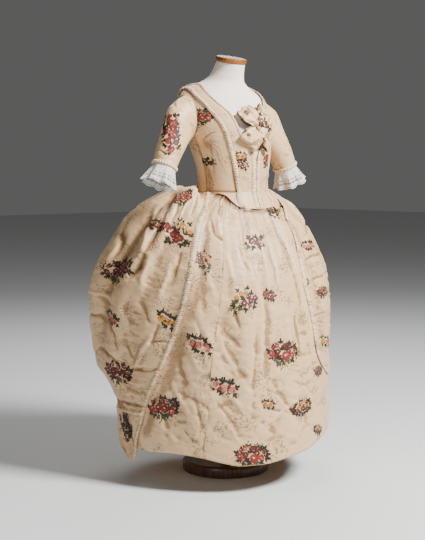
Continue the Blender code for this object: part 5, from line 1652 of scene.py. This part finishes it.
class SILK_OT_robings(PieceOperator):
    """Makes the robings over the shoulders and the gathered strips along their edges"""
    bl_idname = "silk_dress.robings"
    bl_label = "Robings and strips"

    def execute(self, context):
        for side, word in SIDES:
            name = f"robing_{word}"
            band = robing(side)
            band.move(band.wrinkles(300 + int(side), 0.35, 0, -0.5, 0.5))
            sprays = seen_sprays(band, SPRAYS[name], 520) + GUESSED_SPRAYS["robing"]
            add_cloth(name, band, [silk(), floss()],
                      sprays, ("left", "right"))
            for n, (edge, widths, height, flat) in enumerate(ROBING_STRIPS):
                strip = strip_on(band, n, 0.0, widths, 640, height, 0.0066 + 0.0005 * n, 330 + 10 * n + int(side), 0.78)
                add_cloth(f"robing_trim_{edge}_{word}", strip, [trim_silk()])
        return {"FINISHED"}


class SILK_OT_sleeves(PieceOperator):
    """Makes the elbow sleeves and their gathered cuffs"""
    bl_idname = "silk_dress.sleeves"
    bl_label = "Sleeves and cuffs"

    def execute(self, context):
        for side, word in SIDES:
            name = f"sleeve_{word}"
            tube = sleeve(side)
            top = np.sin(math.pi * tube.across)
            around = top * smooth(tube.along * 5) * smooth((1 - tube.along) * 8)
            tube.move(tube.wrinkles(400 + int(side), 0.8, 12, -1.5, 2.0) * around)
            pleats = np.cos(math.tau * 26 * tube.across + 1.5 * ripple(tube.across * 9, tube.along * 3, 405)) * around
            tube.move(1.1 * MM * pleats * (1 - smooth((tube.along - 0.05) / 0.22)) * smooth(2.4 * top - 1.0))
            tube.press(LINES[name])
            # Painted shade at the armhole seam, along the top of the sleeve.
            tube.tint = tube.tint - 1.1 * (1 - smooth(tube.along / 0.03))
            sprays = seen_sprays(tube, SPRAYS.get(name, ()), 540) + GUESSED_SPRAYS["sleeve"]
            add_cloth(name, tube, [silk(), floss()],
                      sprays)
            add_cloth(f"sleeve_cuff_{word}", sleeve_cuff(side), [trim_silk()])
        return {"FINISHED"}


class SILK_OT_lace(PieceOperator):
    """Makes the scalloped lace ruffles at the cuffs"""
    bl_idname = "silk_dress.lace"
    bl_label = "Lace ruffles"

    def execute(self, context):
        cotton = lace_finish(settings().lace_colour)
        for side, word in SIDES:
            ruffle = lace_ruffle(side)
            add_cloth(f"lace_ruffle_{word}", ruffle, [cotton],
                      stands_for=[f"lace_front_{word}", f"lace_back_{word}"],
                      drop=lace_holes(ruffle))
        return {"FINISHED"}


class SILK_OT_petticoat(PieceOperator):
    """Makes the four panels of the petticoat"""
    bl_idname = "silk_dress.petticoat"
    bl_label = "Petticoat"

    def execute(self, context):
        for i, (word, columns, rows, width) in enumerate(PETTICOAT_PANELS):
            name = f"petticoat_{word}"
            panel = petticoat_panel(i, columns, rows, width)
            x, y = panel.x, panel.y
            height = panel.wrinkles(600 + 10 * i, 1.0) * (smooth(y / 0.10) * 0.9 + 0.1)
            pinch = np.cos(math.tau * (x / 0.021 + 0.6 * ripple(x / 0.03, y / 0.2, 650 + i)))
            height = height + 1.2 * MM * pinch * (1 - smooth(y / 0.18)) * smooth(y / 0.02)
            hang = ripple(x / 0.050, y / 0.70, 660 + i) + 0.5 * ripple(x / 0.024, y / 0.35, 665 + i)
            height = height + 4.2 * MM * hang * smooth(y / 0.06) * (1 - smooth((y - 0.40) / 0.30))
            panel.move(np.clip(height, -2.0 * MM, 4.0 * MM))
            seam = np.minimum(panel.across, 1.0 - panel.across) * width
            panel.move(-0.3 * MM * np.exp(-(seam / 0.004) ** 2))
            panel.tint = -0.55 * np.exp(-(seam / 0.003) ** 2) * (0.5 + 0.5 * np.cos(math.tau * y / 0.014))
            shown = exposed(panel.places)
            panel.press(LINES.get(name, ()), mix(0.15, 1.0, shown))
            panel.crush(shown * smooth((y - 0.32) / 0.35), 0.35, 0.16, 690 + i, (3.4, 0.060), (2.5, 0.022))
            sprays = seen_sprays(panel, SPRAYS.get(name, ()), 610 + 20 * i) or repeat_sprays(panel, 60 + i)
            panel.tint = panel.tint + (0.0 if word == "back" else shadow_tint(panel.places))
            add_cloth(name, panel, [silk(), floss()], sprays,
                      ("bottom",))
        return {"FINISHED"}


class SILK_OT_overskirt(PieceOperator):
    """Makes the two halves of the looped overskirt and the gathered strips down its front edges"""
    bl_idname = "silk_dress.overskirt"
    bl_label = "Overskirt"

    def execute(self, context):
        for n, (word, start, end, flat, area, strip_length, repeat) in enumerate(OVERSKIRT_HALVES):
            name = f"overskirt_{word}"
            half = overskirt(start, end)
            share, down = mix(start, end, half.across), half.along
            full = over_fullness(share, down)
            pinch = np.cos(math.tau * (share / 0.0085 + 0.8 * ripple(share / 0.02, down / 0.12, 700 + n)))
            gathers = 1.7 * MM * pinch * (1 - smooth(down / 0.14)) * smooth(down / 0.015) * smooth(full * 2)
            body = taffeta(half.x + 0.4 * n, half.y, 710 + 10 * n, settings().wrinkle * 1.15, -6)
            half.move(np.clip(gathers + body, -mix(1.2 * MM, 6.0 * MM, full), 6.0 * MM))
            half.press(LINES[name])
            ease = smooth(full * 2.5) * smooth((1.0 - down) * 12 + 0.2)
            half.crush(ease * smooth((down - 0.10) / 0.35), 0.4, 0.17, 780 + n, (3.6, 0.075), (2.3, 0.025))
            sprays = seen_sprays(half, SPRAYS[name], 720 + 20 * n)
            sprays += repeat_sprays(half, 72 + n, sprays, *repeat)
            add_cloth(name, half, [silk(), floss()],
                      sprays,
                      ("right" if n else "left", "bottom"))
            strip = strip_on(half, n, 0.5 * MM, (0.020, 0.020), 900, 4.0 * MM, 0.0074, 760 + n, strip_length)
            add_cloth(f"overskirt_trim_{word}", strip, [trim_silk()])
        return {"FINISHED"}


class SILK_OT_bow(PieceOperator):
    """Makes the bow at the breast"""
    bl_idname = "silk_dress.bow"
    bl_label = "Bow"

    def execute(self, context):
        for n, (word, lean, length, half, swell) in enumerate(BOW_LOOPS):
            name = f"bow_{word}"
            loop = bow_loop(lean, length, half, swell, 800 + n)
            add_cloth(name, loop, [silk(), floss()],
                      seen_sprays(loop, SPRAYS[name], 820 + 10 * n))
        mesh = bpy.data.meshes.new("bow_knot_silk")
        with edited(mesh) as bm:
            bmesh.ops.create_uvsphere(bm, u_segments=32, v_segments=20, radius=1.0)
        co = np.empty(len(mesh.vertices) * 3)
        mesh.vertices.foreach_get("co", co)
        co = co.reshape(-1, 3)
        ribbed = 1.0 + 0.07 * np.cos(9.0 * co[:, 0] + 2.0 * co[:, 2])
        centre = bow_point(np.array(0.0), np.array(BOW_CENTRE_Z), 4 * MM)
        mesh.vertices.foreach_set("co", (co * KNOT_RADIUS * ribbed[:, None] + centre).reshape(-1))
        mesh.uv_layers.new(name="UVMap")
        finish_piece("bow_knot_silk", mesh, [silk()], ["bow_knot"])
        return {"FINISHED"}


# Lights: name, place, size in metres, share of the key light's power.
LIGHTS = (
    ("key_light", (0.7, -2.75, 3.3), 1.0, 1.0),
    ("fill_light", (-3.4, -1.6, 1.7), 2.2, 0.055),
    ("back_light", (1.8, 2.4, 3.4), 1.6, 0.14),
)
LIT_PLACE = (0.0, 0.0, 0.7)
FLOOR_HALF = 20.0
ROOM_COLOUR = (0.84, 0.84, 0.83, 1.0)
ROOM_STRENGTH = 0.13


class SILK_OT_stage(PieceOperator):
    """Sets the floor, the lights and the camera"""
    bl_idname = "silk_dress.stage"
    bl_label = "Stage"

    def execute(self, context):
        look = context.scene.dress_stage
        plain = Finish("plain_floor", Roughness=0.75, Specular_IOR_Level=0.2, Base_Color=(*look.floor_colour, 1.0))
        mesh = bpy.data.meshes.new("floor")
        with edited(mesh) as bm:
            bmesh.ops.create_grid(bm, x_segments=1, y_segments=1, size=FLOOR_HALF)
        mesh.materials.append(plain.material)
        add_object("floor", mesh)
        world = bpy.data.worlds.new("soft_room")
        world.use_nodes = True
        room = world.node_tree.nodes["Background"].inputs
        room["Color"].default_value, room["Strength"].default_value = ROOM_COLOUR, ROOM_STRENGTH
        context.scene.world = world
        for name, place, size, share in LIGHTS:
            lamp = bpy.data.lights.new(name, "AREA")
            lamp.energy, lamp.size = look.key_power * share, size
            light = add_object(name, lamp)
            light.location = place
            light.rotation_euler = (Vector(LIT_PLACE) - Vector(place)).to_track_quat("-Z", "Y").to_euler()
        lens = bpy.data.cameras.new("photo_camera")
        lens.sensor_width = SENSOR_MM
        lens.lens = FOCAL_PIXELS * SENSOR_MM / PIXELS[1]
        lens.clip_end = 100.0
        right, up, forward = eye_axes()
        turn = Matrix((right, up, -forward)).transposed()
        camera = add_object("photo_camera", lens)
        camera.matrix_world = Matrix.Translation(EYE) @ turn.to_4x4()
        context.scene.camera = camera
        return {"FINISHED"}


class SILK_PT_panel(bpy.types.Panel):
    """Lists the pieces of the dress"""
    bl_idname = "SILK_PT_panel"
    bl_label = "Silk dress"
    bl_space_type = "VIEW_3D"
    bl_region_type = "UI"
    bl_category = "Silk dress"

    def draw(self, context):
        for group in (context.scene.silk_dress, context.scene.dress_stand, context.scene.dress_stage):
            for name in group.__annotations__:
                self.layout.prop(group, name)
        for operator in OPERATORS:
            self.layout.operator(operator.bl_idname)


OPERATORS = (SILK_OT_stand, SILK_OT_petticoat, SILK_OT_overskirt, SILK_OT_bodice, SILK_OT_robings, SILK_OT_sleeves,
             SILK_OT_lace, SILK_OT_bow, SILK_OT_stage)
GROUPS = ((SilkSettings, "silk_dress"), (StandSettings, "dress_stand"), (StageSettings, "dress_stage"))


def register():
    for group, name in GROUPS:
        bpy.utils.register_class(group)
        setattr(bpy.types.Scene, name, bpy.props.PointerProperty(type=group))
    for operator in OPERATORS:
        bpy.utils.register_class(operator)
    bpy.utils.register_class(SILK_PT_panel)


def unregister():
    bpy.utils.unregister_class(SILK_PT_panel)
    for operator in reversed(OPERATORS):
        bpy.utils.unregister_class(operator)
    for group, name in reversed(GROUPS):
        delattr(bpy.types.Scene, name)
        bpy.utils.unregister_class(group)


def main():
    register()
    for make in (bpy.ops.silk_dress.stand, bpy.ops.silk_dress.petticoat, bpy.ops.silk_dress.overskirt,
                 bpy.ops.silk_dress.bodice, bpy.ops.silk_dress.robings, bpy.ops.silk_dress.sleeves,
                 bpy.ops.silk_dress.lace, bpy.ops.silk_dress.bow, bpy.ops.silk_dress.stage):
        if make() != {"FINISHED"}:
            raise RuntimeError("a piece of the dress was not finished")


if __name__ == "__main__":
    main()
